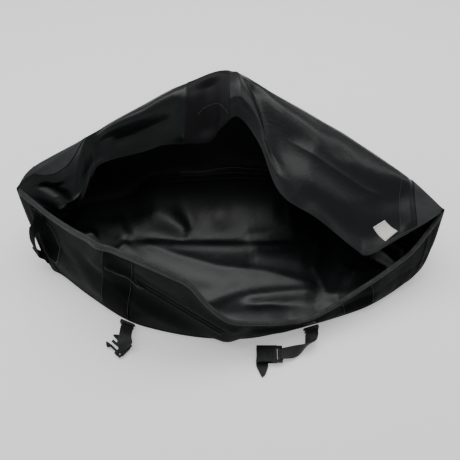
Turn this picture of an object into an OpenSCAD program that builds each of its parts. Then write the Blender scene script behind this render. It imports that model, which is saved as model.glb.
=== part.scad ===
// Roll-top duffel dry bag, standing on its base with the mouth open and the rear collar
// flopped forward over it. X runs along the bag, Y to the back, Z up. The origin is on the
// underside of the base.

/* [Bag] */
// Length from one pointed end to the other
bag_length = 860; // [780:10:940]
// Depth, as the factor on every front-to-back measure
bag_depth = 1; // [0.95:0.01:1.05]
// Height of the rear ridge above the floor
ridge_height = 325; // [300:5:350]
// Thickness of the outer fabric with its coating
shell_t = 2; // [1.5:0.1:2.5]
// Thickness of the coated lining
liner_t = 1; // [0.8:0.1:1.2]
// Room between the outer fabric and the lining, for the pocket
liner_gap = 2; // [1.9:0.1:2.5]
// Thickness of the base panel
base_t = 2.5; // [2:0.1:3]

/* [Webbing] */
// Width of the strap webbing
web_w = 25; // [20:1:25]
// Thickness of the strap webbing
web_t = 1.6; // [1.2:0.1:2]

/* [Pocket zipper] */
// Length of the zipper from stop to stop
zip_length = 184; // [150:1:190]
// Width of one zipper tape
tape_w = 9; // [6:0.5:12]
// Width of one row of teeth
teeth_w = 2.6; // [2:0.1:3]

/* [Buckle] */
// Width of the buckle halves
buckle_w = 34; // [33:1:36]
// Thickness of the female buckle half
buckle_t = 11; // [11:0.5:13]
// Length of the female buckle half
buckle_l = 52; // [50:1:56]

/* [Hidden] */

// Edge lines of the bag, from its left end to its right end, in millimetres at the default size
base_front = [
  [-392, 10, 2], [-384, -16, 2], [-356, -34, 2], [-296, -82, 2], [-216, -137, 2], [-150, -162, 2],
  [-60, -180, 2], [26, -183, 2], [90, -172, 2], [150, -156, 2], [214, -136, 2], [286, -108, 2],
  [350, -68, 2], [384, -36, 2], [392, 10, 2]];
base_back = [
  [-392, 10, 2], [-380, 80, 2], [-300, 158, 2], [-180, 200, 2], [0, 212, 2], [180, 198, 2],
  [300, 150, 2], [380, 70, 2], [392, 10, 2]];
rim = [
  [-430, 60, 178], [-354, 0, 162], [-280, -60, 180], [-220, -100, 194], [-160, -136, 206],
  [-110, -156, 196], [-75, -166, 174], [-40, -184, 128], [0, -198, 94], [60, -194, 78],
  [110, -182, 62], [150, -171, 53], [200, -148, 60], [277, -102, 76], [357, -50, 98],
  [400, -10, 126], [430, 22, 157]];
ridge = [
  [-430, 60, 178], [-400, 106, 196], [-290, 156, 232], [-180, 196, 278], [-80, 228, 316],
  [0, 250, 325], [90, 222, 290], [180, 188, 254], [256, 150, 228], [364, 86, 184],
  [430, 22, 157]];
hem = [
  [-424, 58, 172], [-390, 50, 136], [-345, 46, 118], [-312, 58, 126], [-286, 100, 164],
  [-264, 120, 188], [-178, 136, 206], [-130, 140, 222], [-48, 142, 226], [-16, 150, 262],
  [16, 154, 286], [58, 112, 252], [98, 34, 196], [172, -12, 172], [248, -54, 128],
  [274, -62, 122], [340, -28, 135], [408, 8, 150], [424, 20, 156]];
fit_to_size = [bag_length / 860, bag_depth, ridge_height / 325];

// Curved edges and surfaces
function unit(v) = v / norm(v);
function fade(d, over) = d <= 0 ? 1 : d >= over ? 0 : (1 + cos(180 * d / over)) / 2;
function spline(p0, p1, p2, p3, t) =
  0.5 * (2 * p1 + (p2 - p0) * t + (2 * p0 - 5 * p1 + 4 * p2 - p3) * t * t
    + (3 * p1 - p0 - 3 * p2 + p3) * t * t * t);
function at_index(p, i) =
  let (n = len(p) - 1, k = min(floor(i), n - 1))
  spline(p[max(k - 1, 0)], p[k], p[k + 1], p[min(k + 2, n)], i - k);
function resized(p) = [p[0] * fit_to_size[0], p[1] * fit_to_size[1], p[2] * fit_to_size[2]];
function edge_at(p, u) =
  let (n = len(p) - 1, first = p[0][0], whole = p[n][0] - first)
  resized(at_index(p, lookup(u, [for (i = [0:n]) [(p[i][0] - first) / whole, i]])));
function mix_of(a, b, t) = a * (1 - t) + b * t;

// The pocket zipper's own frame: along, up the wall, and out of the wall
zip_start = [-176, -126, 116];
zip_along = unit([157, -67, -72]);
zip_up = unit([0, 0.1, 1] - ([0, 0.1, 1] * zip_along) * zip_along);
zip_out = cross(zip_along, zip_up);
flat_before = 84; // the wall is pulled flat this far past the top stop, under the cord
flat_half = 20; // and this far to each side of the zipper
flat_fade = 36;
flat_run_out = 44; // how gently it ends, along the zipper
function pulled_flat(p) =
  let (q = p - zip_start, s = q * zip_along,
    side = fade(abs(q * zip_up) - flat_half, flat_fade),
    run = fade(max(-flat_before - s, s - zip_length - 12), flat_run_out))
  p - side * run * (q * zip_out) * zip_out;

front_sag = 7; // how far the front wall sags inwards at half its height
front_roll = 6; // how far it rolls outwards just above the base
back_bulge = 26;
flap_crown = 16;
// how far the walls swell outwards towards the pointed ends
left_bulge = 5;
right_bulge = 13;
function end_swell(u, v, forward) =
  sin(180 * v) * pow(abs(2 * u - 1), 4)
  * (u < 0.5 ? [-left_bulge, forward * left_bulge, 0] : [right_bulge, forward * right_bulge, 0]);
front_wall = function(u, v) pulled_flat(
  mix_of(edge_at(base_front, u), edge_at(rim, u), v)
  + end_swell(u, v, -0.6)
  + [0, front_sag * sin(180 * v) * sin(180 * u) - front_roll * sin(360 * min(v, 0.5)), 0]);
back_wall = function(u, v)
  mix_of(edge_at(base_back, u), edge_at(ridge, u), v) + end_swell(u, v, 0.6)
  + [0, back_bulge * sin(180 * v) * sin(180 * u), 0];
flap = function(u, v)
  mix_of(edge_at(ridge, u), edge_at(hem, u), v)
  + sin(180 * v) * sin(180 * u) * [0, -0.45 * flap_crown, flap_crown];

// A point a given distance off a surface, on the side that its own normal points to
step = 0.004;
function off_wall(wall, u, v, distance) =
  let (p = wall(u, v),
    du = wall(min(u + step, 1), v) - wall(max(u - step, 0), v),
    dv = wall(u, min(v + step, 1)) - wall(u, max(v - step, 0)))
  p + distance * unit(cross(du, dv));
function grid_of(wall, us, vs, distance) =
  [for (u = us) [for (v = vs) off_wall(wall, u, v, distance)]];
function steps(from, to, count) = [for (i = [0:count]) from + (to - from) * i / count];

// A closed solid between two grids of points; the first lies where the surface's normal points
module between(a, b) {
  nu = len(a) - 1;
  nv = len(a[0]) - 1;
  row = nv + 1;
  far = (nu + 1) * row;
  function at(i, j) = i * row + j;
  faces = [
    for (i = [0:nu - 1], j = [0:nv - 1]) each [
      [at(i, j), at(i, j + 1), at(i + 1, j + 1)], [at(i, j), at(i + 1, j + 1), at(i + 1, j)],
      [far + at(i, j), far + at(i + 1, j + 1), far + at(i, j + 1)],
      [far + at(i, j), far + at(i + 1, j), far + at(i + 1, j + 1)]],
    for (i = [0:nu - 1]) each [
      [at(i, 0), at(i + 1, 0), far + at(i + 1, 0)], [at(i, 0), far + at(i + 1, 0), far + at(i, 0)],
      [at(i + 1, nv), at(i, nv), far + at(i, nv)],
      [at(i + 1, nv), far + at(i, nv), far + at(i + 1, nv)]],
    for (j = [0:nv - 1]) each [
      [at(0, j + 1), at(0, j), far + at(0, j)], [at(0, j + 1), far + at(0, j), far + at(0, j + 1)],
      [at(nu, j), at(nu, j + 1), far + at(nu, j + 1)],
      [at(nu, j), far + at(nu, j + 1), far + at(nu, j)]]];
  polyhedron([for (r = a) each r, for (r = b) each r], faces, convexity = 8);
}
module skin(wall, us, vs, low, high) {
  between(grid_of(wall, us, vs, high), grid_of(wall, us, vs, low));
}

// A ribbon between two edge lines, with half its thickness on each side
function ribbon_wall(edge_a, edge_b) = function(u, v)
  mix_of(at_index(edge_a, u * (len(edge_a) - 1)), at_index(edge_b, u * (len(edge_b) - 1)), v);
module ribbon(edge_a, edge_b, count, thick) {
  skin(ribbon_wall(edge_a, edge_b), steps(0, 1, count), [0, 0.5, 1], -thick / 2, thick / 2);
}

// A round tube along a line of points
module tube(points, radius, sides) {
  last = len(points) - 1;
  rings = [for (i = [0:last])
    let (t = unit(points[min(i + 1, last)] - points[max(i - 1, 0)]),
      a = unit(cross(t, abs(t[2]) > 0.9 ? [1, 0, 0] : [0, 0, 1])), b = cross(t, a))
    [for (k = [0:sides - 1]) points[i] + radius * (cos(360 * k / sides) * a + sin(360 * k / sides) * b)]];
  function at(i, k) = i * sides + k % sides;
  polyhedron([for (r = rings) each r], [
    [for (k = [0:sides - 1]) at(0, k)],
    for (i = [0:last - 1], k = [0:sides - 1]) each [
      [at(i, k), at(i + 1, k), at(i + 1, k + 1)], [at(i, k), at(i + 1, k + 1), at(i, k + 1)]],
    [for (k = [sides - 1:-1:0]) at(last, k)]], convexity = 6);
}

wall_steps = 52; // facets along a wall
front_rows = 12; // facets up the front wall
shell_colour = "#26272a";
liner_colour = "#1b1e21";
trim_colour = "#33353a";
web_colour = "#202225";
moulded_colour = "#17181a";
end_gap = 0.006; // the back wall starts this share of its length from the pointed ends
split = 0.46; // the share of the rear wall's height at which the collar starts
liner_low = -shell_t - liner_gap - liner_t;
liner_high = -shell_t - liner_gap;

// Base and walls
module base_outline(inset) {
  front = [for (u = steps(0, 1, 40)) edge_at(base_front, u)];
  back = [for (u = steps(1, 0, 40)) edge_at(base_back, u)];
  outline = [for (p = front) [p[0], p[1]], for (i = [1:39]) [back[i][0], back[i][1]]];
  middle = [0, 15];
  polygon([for (p = outline) p - inset * unit(p - middle)]);
}
module base_panel() {
  color(shell_colour) linear_extrude(base_t) base_outline(5);
}
module liner_floor() {
  color(liner_colour) translate([0, 0, base_t + 0.4]) linear_extrude(liner_t) base_outline(6);
}
module front_panel() {
  color(shell_colour) skin(front_wall, steps(0, 1, wall_steps), steps(0, 1, front_rows), -shell_t, 0);
}
module liner_front() {
  vs = [0.04, each steps(1 / front_rows, 1 - 1 / front_rows, front_rows - 2), 0.985];
  color(liner_colour)
    skin(front_wall, steps(2 / wall_steps, 1 - 2 / wall_steps, wall_steps - 4), vs, liner_low, liner_high);
}
module back_panel() {
  color(shell_colour)
    skin(back_wall, steps(end_gap, 1 - end_gap, wall_steps), steps(0, split - 0.02, 5), 0, shell_t);
}
module liner_back() {
  color(liner_colour)
    skin(back_wall, steps(0.035, 0.965, wall_steps), steps(0.04, split - 0.02, 4),
      -liner_high, -liner_low);
}
module rear_collar() {
  color(shell_colour)
    skin(back_wall, steps(0.03, 0.97, wall_steps), steps(split, 0.97, 6), 0, shell_t);
}
module collar_flap() {
  color(liner_colour)
    skin(flap, steps(0.03, 0.97, wall_steps), steps(0.04, 1, 8), 0, shell_t);
}
module seam_tape() {
  color(trim_colour)
    skin(back_wall, steps(0.34, 0.68, 16), [0.06, 0.11, 0.16], -liner_low + 0.3, -liner_low + 0.8);
}

// Bindings are folded over the edge of the fabric
bind_deep = 0.05; // share of the wall that a binding covers
bind_t = 1.3;
bind_gap = 0.7; // clear of the walls' own facets
function folded(wall, us, v_edge, v_low, near, far, rise) =
  [for (u = us) let (top = unit(off_wall(wall, u, v_edge, 0) - off_wall(wall, u, v_low, 0)) * rise)
    [off_wall(wall, u, v_low, far), off_wall(wall, u, v_edge, far) + top,
      off_wall(wall, u, v_edge, near) + top, off_wall(wall, u, v_low, near)]];
module rim_binding() {
  us = steps(2 / wall_steps, 1 - 2 / wall_steps, wall_steps - 4);
  v_low = 1 - bind_deep;
  color(trim_colour) between(
    folded(front_wall, us, 1, v_low, bind_gap + bind_t, liner_low - bind_gap - bind_t, 0.4 + bind_t),
    folded(front_wall, us, 1, v_low, bind_gap, liner_low - bind_gap, 0.4));
}
hem_low = 0.955; // how far up the flap its binding starts
module hem_binding() {
  us = steps(0.82, 0.965, 14);
  color(trim_colour) between(
    folded(flap, us, 1, hem_low, shell_t + 0.3 + bind_t, -0.3 - bind_t, 0.4 + bind_t),
    folded(flap, us, 1, hem_low, shell_t + 0.3, -0.3, 0.4));
}

// Reinforcing bands sewn up the walls
band_t = 1.2;
band_off = 0.8; // clear of the wall's own facets
band_half = 0.037; // half its width, as a share of the wall's length
module band(wall, foot, head, v_top, low, high) {
  slanted = function(u, v) wall(mix_of(foot, head, v) + (2 * u - 1) * band_half, v);
  color(web_colour) skin(slanted, steps(0, 1, 6), steps(0.05, v_top, 12), low, high);
}
module band_front_left() { band(front_wall, 0.198, 0.261, 0.92, band_off, band_off + band_t); }
module band_front_right() { band(front_wall, 0.835, 0.79, 0.9, band_off, band_off + band_t); }
module band_back_left() { band(back_wall, 0.2, 0.235, split - 0.03, -band_off - band_t, -band_off); }
module band_back_right() { band(back_wall, 0.8, 0.765, split - 0.03, -band_off - band_t, -band_off); }

// Outer pocket with its diagonal zipper
module on_zipper() {
  multmatrix([for (i = [0:2]) [zip_along[i], zip_up[i], zip_out[i], zip_start[i]]]) children();
}
tape_low = 0.3;
tape_t = 0.9;
teeth_t = 1.4;
teeth_low = tape_low + tape_t;
teeth_high = teeth_low + teeth_t;
module tape(side) {
  color(trim_colour) on_zipper()
    translate([-8, side > 0 ? 0.2 : -tape_w - 0.2, tape_low]) cube([zip_length + 16, tape_w, tape_t]);
}
module zipper_tape_upper() { tape(1); }
module zipper_tape_lower() { tape(-1); }
module teeth(side) {
  color(moulded_colour) on_zipper()
    translate([0, side > 0 ? 0.2 : -teeth_w - 0.2, teeth_low]) cube([zip_length, teeth_w, teeth_t]);
}
module zipper_teeth_upper() { teeth(1); }
module zipper_teeth_lower() { teeth(-1); }
module zipper_stop(s) {
  color(moulded_colour) on_zipper()
    translate([s, -teeth_w - 0.6, teeth_low]) cube([2.4, 2 * teeth_w + 1.2, teeth_t + 0.4]);
}
module zipper_stop_top() { zipper_stop(-2.6); }
module zipper_stop_bottom() { zipper_stop(zip_length + 0.2); }
module pocket_bag() {
  pocket_low = -shell_t - liner_gap + 0.3;
  pocket_high = -shell_t - 0.3;
  color(liner_colour)
    skin(front_wall, steps(15 / wall_steps, 26 / wall_steps, 11), steps(2 / front_rows, 7 / front_rows, 5),
      pocket_low, pocket_high);
}

// Slider, with the ring, cord and moulded end that pull it
slider_at = 8;
slider_low = teeth_high + 0.3;
slider_plate = 1.6;
bridge_high = slider_low + slider_plate + 4.4;
ring_r = 3.6;
ring_wire = 0.9;
module zipper_slider() {
  color(moulded_colour) on_zipper() translate([slider_at, 0, slider_low]) {
    linear_extrude(slider_plate) hull() {
      translate([3.5, 0]) circle(r = 3, $fn = 32);
      translate([-3.5, 0]) circle(r = 4.2, $fn = 32);
    }
    translate([-3.5, -1, slider_plate]) cube([1.4, 2, 4.4]);
    translate([2.1, -1, slider_plate]) cube([1.4, 2, 4.4]);
    translate([-3.5, -1, slider_plate + 3.2]) cube([7, 2, 1.2]);
  }
}
// The ring stands edge-on through the slider's bridge and lies back towards the cord
ring_mid = [slider_at - 2.2, 0, slider_low + slider_plate + 1.6];
module pull_ring() {
  color(moulded_colour) on_zipper() translate(ring_mid + [-ring_r + ring_wire + 0.3, 0, 0])
    rotate_extrude($fn = 40) translate([ring_r, 0]) circle(r = ring_wire, $fn = 20);
}
// The cord's line, in the zipper's frame
cord_r = 1.5;
cord_line = [
  [0, 0, 6.1], [-5, 1, 6], [-9, 2.5, 5.5], [-13, 4, 5], [-18, 5, 4.8], [-23, 5, 4.7],
  [-28, 4.5, 4.7], [-33, 3, 4.7], [-38, 1, 4.7], [-43, -1, 4.7], [-48, -2, 4.8], [-53, -2, 5],
  [-57, -1.5, 5.2]];
module pull_cord() {
  color(web_colour) on_zipper() tube([for (i = steps(0, 12, 24)) at_index(cord_line, i)], cord_r, 8);
}
module cord_end() {
  end_l = 15;
  end_r = 2.6;
  color(moulded_colour) on_zipper() translate([-56.5 - end_l, -1.5, 5.8])
    rotate([0, 90, 0]) union() {
      cylinder(r1 = end_r - 0.8, r2 = end_r, h = 3, $fn = 32);
      translate([0, 0, 3]) cylinder(r = end_r, h = end_l - 5, $fn = 32);
      translate([0, 0, end_l - 2]) cylinder(r1 = end_r, r2 = end_r - 0.8, h = 2, $fn = 32);
    }
}

// End handle: a webbing loop that stands off the left end, between two sewn anchors
handle_out = unit([-0.78, -0.62, 0]);
handle_side = unit([0.62, -0.78, 0]);
handle_foot = [-378, 2, 44];
handle_head = [-380, 22, 140];
handle_stand = 10.5; // the loop's ends clear the anchors as it swings
// Middles of the anchors on the front wall, and half their widths, as shares of its length
head_at = [0.0545, 0.88];
foot_at = [0.0125, 0.185];
head_half = 0.0105;
foot_half = 0.0095;
function on_front(at, side, rise, out) = off_wall(front_wall, at[0] + side, at[1] + rise, out);
function handle_edge(side) = let (reach = side * web_w / 2 * handle_side) [
  on_front(head_at, side * head_half, -0.02, handle_stand),
  on_front(head_at, side * head_half, -0.08, handle_stand + 5),
  mix_of(handle_head, handle_foot, 0.25) + 30 * handle_out + reach,
  mix_of(handle_head, handle_foot, 0.5) + 35 * handle_out + reach,
  mix_of(handle_head, handle_foot, 0.75) + 33 * handle_out + reach,
  on_front(foot_at, side * foot_half, 0.08, handle_stand + 5),
  on_front(foot_at, side * foot_half, 0.02, handle_stand)];
module end_handle() {
  color(web_colour) ribbon(handle_edge(1), handle_edge(-1), 24, web_t + 0.8);
}
module anchor_patch(at, half) {
  color(web_colour) skin(front_wall, steps(at[0] - half, at[0] + half, 4),
    steps(at[1] - 0.06, at[1] + 0.06, 3), 0.8, 3.3);
}
module handle_anchor_top() { anchor_patch(head_at, head_half + 0.0015); }
module handle_anchor_bottom() { anchor_patch(foot_at, foot_half + 0.0015); }

// Straps sewn into the front seam of the base, with the two halves of one buckle
module strap_anchor(x, y, turn) {
  color(web_colour) translate([x, y, 1]) rotate([0, 0, turn])
    translate([-web_w / 2 - 3, -6, 0]) cube([web_w + 6, 8, 14]);
}
module strap_anchor_left() { strap_anchor(-207, -152, -24); }
module strap_anchor_right() { strap_anchor(163, -163, 18); }

male_at = [-207, -214, 6];
male_turn = 140;
bar_r = 2;
loop_in = bar_r + 0.5;
loop_out = loop_in + web_t;
male_bar = [sin(male_turn), -cos(male_turn), 0]; // along the bar
module bar_loop(length) {
  rotate([90, 0, 0]) difference() {
    cylinder(r = loop_out, h = length, center = true, $fn = 48);
    cylinder(r = loop_in, h = length + 1, center = true, $fn = 48);
  }
}
module strap_left() {
  half = web_w / 2;
  lift = [0, 0, loop_out - web_t / 2];
  color(web_colour) {
    ribbon(
      [[-207 - half, -154, 10], [-207 - half, -168, 20], [-207 - half, -186, 25],
        [-209 - half, -206, 23], male_at - (half - 1) * male_bar + lift],
      [[-207 + half, -165, 10], [-207 + half, -178, 20], [-207 + half, -191, 24],
        [-205 + half, -203, 20], male_at + (half - 1) * male_bar + lift], 20, web_t);
    translate(male_at) rotate([0, 0, male_turn]) bar_loop(web_w - 2);
  }
}

// Male half, in its own frame: X towards the prong tips, the strap's bar at the origin
block_from = 6;
block_to = 13;
male_t = 7;
prong_pivot = [block_to + 2.6, 10.5];
module on_male() {
  translate(male_at) rotate([0, 0, male_turn]) children();
}
module male_buckle() {
  color(moulded_colour) on_male() {
    rotate([90, 0, 0]) cylinder(r = bar_r, h = buckle_w - 2, center = true, $fn = 40);
    for (side = [-1, 1]) translate([-2, side * (buckle_w / 2 - 2) - 2, -2])
      cube([block_from + 3, 4, 4]);
    translate([block_from, -buckle_w / 2, -male_t / 2]) cube([block_to - block_from, buckle_w, male_t]);
    translate([block_to - 0.5, -2.5, -1.5]) cube([24, 5, 3]);
  }
}
module male_prong(side) {
  prong_t = 5;
  color(moulded_colour) on_male() translate([0, 0, -prong_t / 2]) {
    translate([prong_pivot[0], side * prong_pivot[1], 0]) cylinder(r = 2.2, h = prong_t, $fn = 40);
    linear_extrude(prong_t) polygon([
      [prong_pivot[0], side * 8.4], [prong_pivot[0], side * 12.6], [30, side * 11.6],
      [33, side * 16], [36, side * 16.4], [43, side * 11.5], [44, side * 9], [40, side * 8.2],
      [30, side * 7.4]]);
  }
}
module male_prong_left() { male_prong(1); }
module male_prong_right() { male_prong(-1); }

// Female half: X towards its mouth, the strap's bar at the origin
female_at = [101, -222, 9];
female_turn = 180;
socket_w = buckle_w - 7;
socket_h = 6.4;
module on_female() {
  translate(female_at) rotate([0, 0, female_turn]) children();
}
module female_buckle() {
  body_from = 9;
  body_l = buckle_l - body_from - 3;
  color(moulded_colour) on_female() {
    difference() {
      translate([body_from, -buckle_w / 2, -buckle_t / 2]) cube([body_l, buckle_w, buckle_t]);
      translate([body_from + 5, -socket_w / 2, -socket_h / 2]) cube([body_l, socket_w, socket_h]);
      // windows that the prongs spring out through
      for (side = [-1, 1]) translate([body_from + 8, side * buckle_w / 2 - 5, -socket_h / 2])
        cube([14, 10, socket_h]);
    }
    // ladder end: two bars across, with the webbing woven round the first
    rotate([90, 0, 0]) cylinder(r = bar_r, h = buckle_w - 2, center = true, $fn = 40);
    translate([6, 0, 2.2]) rotate([90, 0, 0]) cylinder(r = 1.6, h = buckle_w - 2, center = true, $fn = 40);
    for (side = [-1, 1]) translate([-2, side * (buckle_w / 2 - 2) - 2, -3]) cube([body_from + 4, 4, 7]);
  }
}
strap_right_inner = [
  [153.6, -173.6, 9], [150, -183, 15], [149, -198, 8], [144, -213, 4], [127, -228, 6], [102, -233.5, 12.3]];
strap_right_outer = [
  [177.6, -165.8, 9], [176, -182, 15], [169, -198, 21], [151, -208, 28], [128, -208, 20],
  [102, -210.5, 12.3]];
module strap_right() {
  color(web_colour) {
    ribbon(strap_right_inner, strap_right_outer, 30, web_t);
    on_female() bar_loop(web_w - 2);
  }
}
module strap_tail() {
  color(web_colour) ribbon(
    [[76, -222, 1], [75, -240, 1], [73, -251, 3], [68, -263, 2]],
    [[52, -222, 1], [51, -241, 1], [56, -256, 3], [62, -268, 2]], 12, web_t);
}

// A plain sewn label, set askew near the hem
label_wall = function(a, b) flap(0.864 + 0.0283 * a - 0.026 * b, 0.711 + 0.188 * a + 0.05 * b);
module blank_label() {
  color("#e9e8e4") skin(label_wall, steps(0, 1, 4), steps(0, 1, 3), -0.9, -0.3);
}

base_panel();
front_panel();
back_panel();
rear_collar();
collar_flap();
liner_floor();
liner_front();
liner_back();
seam_tape();
rim_binding();
hem_binding();
band_front_left();
band_front_right();
band_back_left();
band_back_right();
pocket_bag();
zipper_tape_upper();
zipper_tape_lower();
zipper_teeth_upper();
zipper_teeth_lower();
zipper_stop_top();
zipper_stop_bottom();
zipper_slider();
pull_ring();
pull_cord();
cord_end();
handle_anchor_top();
handle_anchor_bottom();
end_handle();
strap_anchor_left();
strap_left();
male_buckle();
male_prong_left();
male_prong_right();
strap_anchor_right();
strap_right();
strap_tail();
female_buckle();
blank_label();
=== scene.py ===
import math

import bmesh
import bpy
import numpy as np
from mathutils import Matrix, Vector


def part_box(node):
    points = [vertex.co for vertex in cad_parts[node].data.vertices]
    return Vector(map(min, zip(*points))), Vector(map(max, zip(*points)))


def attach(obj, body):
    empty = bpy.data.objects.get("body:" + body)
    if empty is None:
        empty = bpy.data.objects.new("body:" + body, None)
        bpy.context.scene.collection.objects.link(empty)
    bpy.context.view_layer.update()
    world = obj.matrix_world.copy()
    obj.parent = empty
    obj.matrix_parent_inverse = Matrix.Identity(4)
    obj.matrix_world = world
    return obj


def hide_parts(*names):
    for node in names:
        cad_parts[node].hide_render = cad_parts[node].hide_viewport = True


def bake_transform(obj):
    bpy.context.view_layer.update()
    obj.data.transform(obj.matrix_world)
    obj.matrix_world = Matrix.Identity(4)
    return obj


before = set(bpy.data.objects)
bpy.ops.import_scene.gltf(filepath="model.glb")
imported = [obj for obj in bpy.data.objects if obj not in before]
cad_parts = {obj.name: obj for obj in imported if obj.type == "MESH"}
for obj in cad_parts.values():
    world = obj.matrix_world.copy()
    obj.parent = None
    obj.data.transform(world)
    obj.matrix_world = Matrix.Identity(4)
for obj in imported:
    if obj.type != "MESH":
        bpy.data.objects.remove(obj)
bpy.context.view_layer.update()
mm = 0.001
print("frame loaded with", len(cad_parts), "nodes")

# ---- camera, floor and light
view = {"target": (0, 0, 0.12), "distance": 1.30, "elevation": 53, "lens": 50}
studio = {
    "floorSize": 9.0,
    "floorTone": (0.95, 0.95, 0.945, 1),
    "floorGlow": 0.36,
    "worldTone": (1, 1, 1, 1),
    "worldPower": 0.32,
    # name: place, aim, width, depth, watts
    "softboxes": {
        "overheadBox": ((-0.1, 0.78, 1.95), (0, 0.05, 0.1), 3.0, 1.0, 32),
        "topBox": ((0.0, -0.1, 1.95), (0, 0, 0.1), 1.2, 0.45, 5),
        "leftBox": ((-1.9, 0.3, 1.2), (-0.1, 0, 0.15), 1.0, 1.2, 6),
        "rightBox": ((1.8, 0.6, 1.3), (0.1, 0, 0.15), 0.8, 1.2, 5),
    },
}


def placeCamera(s):
    data = bpy.data.cameras.new("viewCamera")
    data.lens = s["lens"]
    data.sensor_width = 36
    rise = math.radians(s["elevation"])
    camera = bpy.data.objects.new("viewCamera", data)
    x, y, z = s["target"]
    camera.location = (x, y - s["distance"] * math.cos(rise), z + s["distance"] * math.sin(rise))
    camera.rotation_euler = (math.pi / 2 - rise, 0, 0)
    bpy.context.collection.objects.link(camera)
    bpy.context.scene.camera = camera


def buildStudio(s):
    half = s["floorSize"] / 2
    mesh = bpy.data.meshes.new("studioFloor")
    corners = [(-half, -half, 0), (half, -half, 0), (half, half, 0), (-half, half, 0)]
    mesh.from_pydata(corners, [], [(0, 1, 2, 3)])
    floor = bpy.data.objects.new("studioFloor", mesh)
    bpy.context.collection.objects.link(floor)
    finish = bpy.data.materials.new("paleFloor")
    finish.use_nodes = True
    shader = finish.node_tree.nodes["Principled BSDF"]
    shader.inputs["Base Color"].default_value = s["floorTone"]
    shader.inputs["Roughness"].default_value = 0.9
    shader.inputs["Specular IOR Level"].default_value = 0.1
    shader.inputs["Emission Color"].default_value = (1, 1, 1, 1)
    shader.inputs["Emission Strength"].default_value = s["floorGlow"]
    mesh.materials.append(finish)
    world = bpy.data.worlds.new("studioWorld")
    world.use_nodes = True
    world.node_tree.nodes["Background"].inputs["Color"].default_value = s["worldTone"]
    world.node_tree.nodes["Background"].inputs["Strength"].default_value = s["worldPower"]
    bpy.context.scene.world = world
    for name, (place, aim, width, depth, watts) in s["softboxes"].items():
        data = bpy.data.lights.new(name, "AREA")
        data.shape = "RECTANGLE"
        data.size, data.size_y, data.energy = width, depth, watts
        lamp = bpy.data.objects.new(name, data)
        lamp.location = place
        lamp.rotation_euler = (Vector(aim) - Vector(place)).to_track_quat("-Z", "Y").to_euler()
        bpy.context.collection.objects.link(lamp)


placeCamera(view)
buildStudio(studio)
print("camera and studio placed")


# ---- curves and surfaces
def asUnit(v):
    v = np.asarray(v, float)
    return v / np.maximum(np.linalg.norm(v, axis=-1, keepdims=True), 1e-12)


def lineAt(points, index):
    points = np.asarray(points, float)
    index = np.asarray(index, float)
    last = len(points) - 1
    k = np.clip(np.floor(index).astype(int), 0, last - 1)
    t = (index - k).reshape(index.shape + (1,) * (points.ndim - 1))
    p0, p1 = points[np.maximum(k - 1, 0)], points[k]
    p2, p3 = points[k + 1], points[np.minimum(k + 2, last)]
    return 0.5 * (2 * p1 + (p2 - p0) * t + (2 * p0 - 5 * p1 + 4 * p2 - p3) * t**2
                  + (3 * p1 - p0 - 3 * p2 + p3) * t**3)


def edgeAt(points, u):
    points = np.asarray(points, float)
    share = (points[:, 0] - points[0, 0]) / (points[-1, 0] - points[0, 0])
    return lineAt(points, np.interp(u, share, np.arange(len(points)))) * mm


def grid(first, second):
    return np.meshgrid(first, second, indexing="ij")


def smooth(t):
    t = np.clip(t, 0, 1)
    return t * t * (3 - 2 * t)


def fade(distance, over):
    t = np.clip(distance / over, 0, 1)
    return (1 + np.cos(np.pi * t)) / 2


# The bag's edge lines, from its left end to its right end, in millimetres
bag = {
    "baseFront": [
        (-392, 10, 2), (-384, -16, 2), (-356, -34, 2), (-296, -82, 2), (-216, -137, 2),
        (-150, -162, 2), (-60, -180, 2), (26, -183, 2), (90, -172, 2), (150, -156, 2),
        (214, -136, 2), (286, -108, 2), (350, -68, 2), (384, -36, 2), (392, 10, 2)],
    "baseBack": [
        (-392, 10, 2), (-380, 80, 2), (-300, 158, 2), (-180, 200, 2), (0, 212, 2),
        (180, 198, 2), (300, 150, 2), (380, 70, 2), (392, 10, 2)],
    "rim": [
        (-430, 60, 178), (-354, 0, 162), (-280, -60, 180), (-220, -100, 194),
        (-160, -136, 206), (-110, -156, 196), (-75, -166, 174), (-40, -184, 128),
        (0, -198, 94), (60, -194, 78), (110, -182, 62), (150, -171, 53), (200, -148, 60),
        (277, -102, 76), (357, -50, 98), (400, -10, 126), (430, 22, 157)],
    "ridge": [
        (-430, 60, 178), (-400, 106, 196), (-290, 156, 232), (-180, 196, 278),
        (-80, 228, 316), (0, 250, 325), (90, 222, 290), (180, 188, 254), (256, 150, 228),
        (364, 86, 184), (430, 22, 157)],
    "hem": [
        (-424, 58, 172), (-390, 50, 136), (-345, 46, 118), (-312, 58, 126),
        (-286, 100, 164), (-264, 120, 188), (-178, 136, 206), (-130, 140, 222),
        (-48, 142, 226), (-16, 150, 262), (16, 154, 286), (58, 112, 252), (98, 34, 196),
        (172, -12, 172), (248, -54, 128), (274, -62, 122), (340, -28, 135),
        (408, 8, 150), (424, 20, 156)],
    "frontSag": 7 * mm, "frontRoll": 6 * mm, "backBulge": 26 * mm, "flapCrown": 16 * mm,
    "leftBulge": 5 * mm, "rightBulge": 13 * mm,
    "cloth": 1.1 * mm,  # thickness of the outer fabric
    "lining": 0.8 * mm,
    "room": 4.1 * mm,  # how far inside the shell the lining hangs
}
zipper = {
    "start": np.array([-0.176, -0.126, 0.116]),
    "along": asUnit([157, -67, -72]),
    "length": 184 * mm,
    "flatBefore": 84 * mm, "flatHalf": 20 * mm, "flatFade": 36 * mm, "flatRunOut": 44 * mm,
}
zipper["up"] = asUnit(np.array([0, 0.1, 1]) - (np.array([0, 0.1, 1]) @ zipper["along"]) * zipper["along"])
zipper["out"] = np.cross(zipper["along"], zipper["up"])


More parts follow.
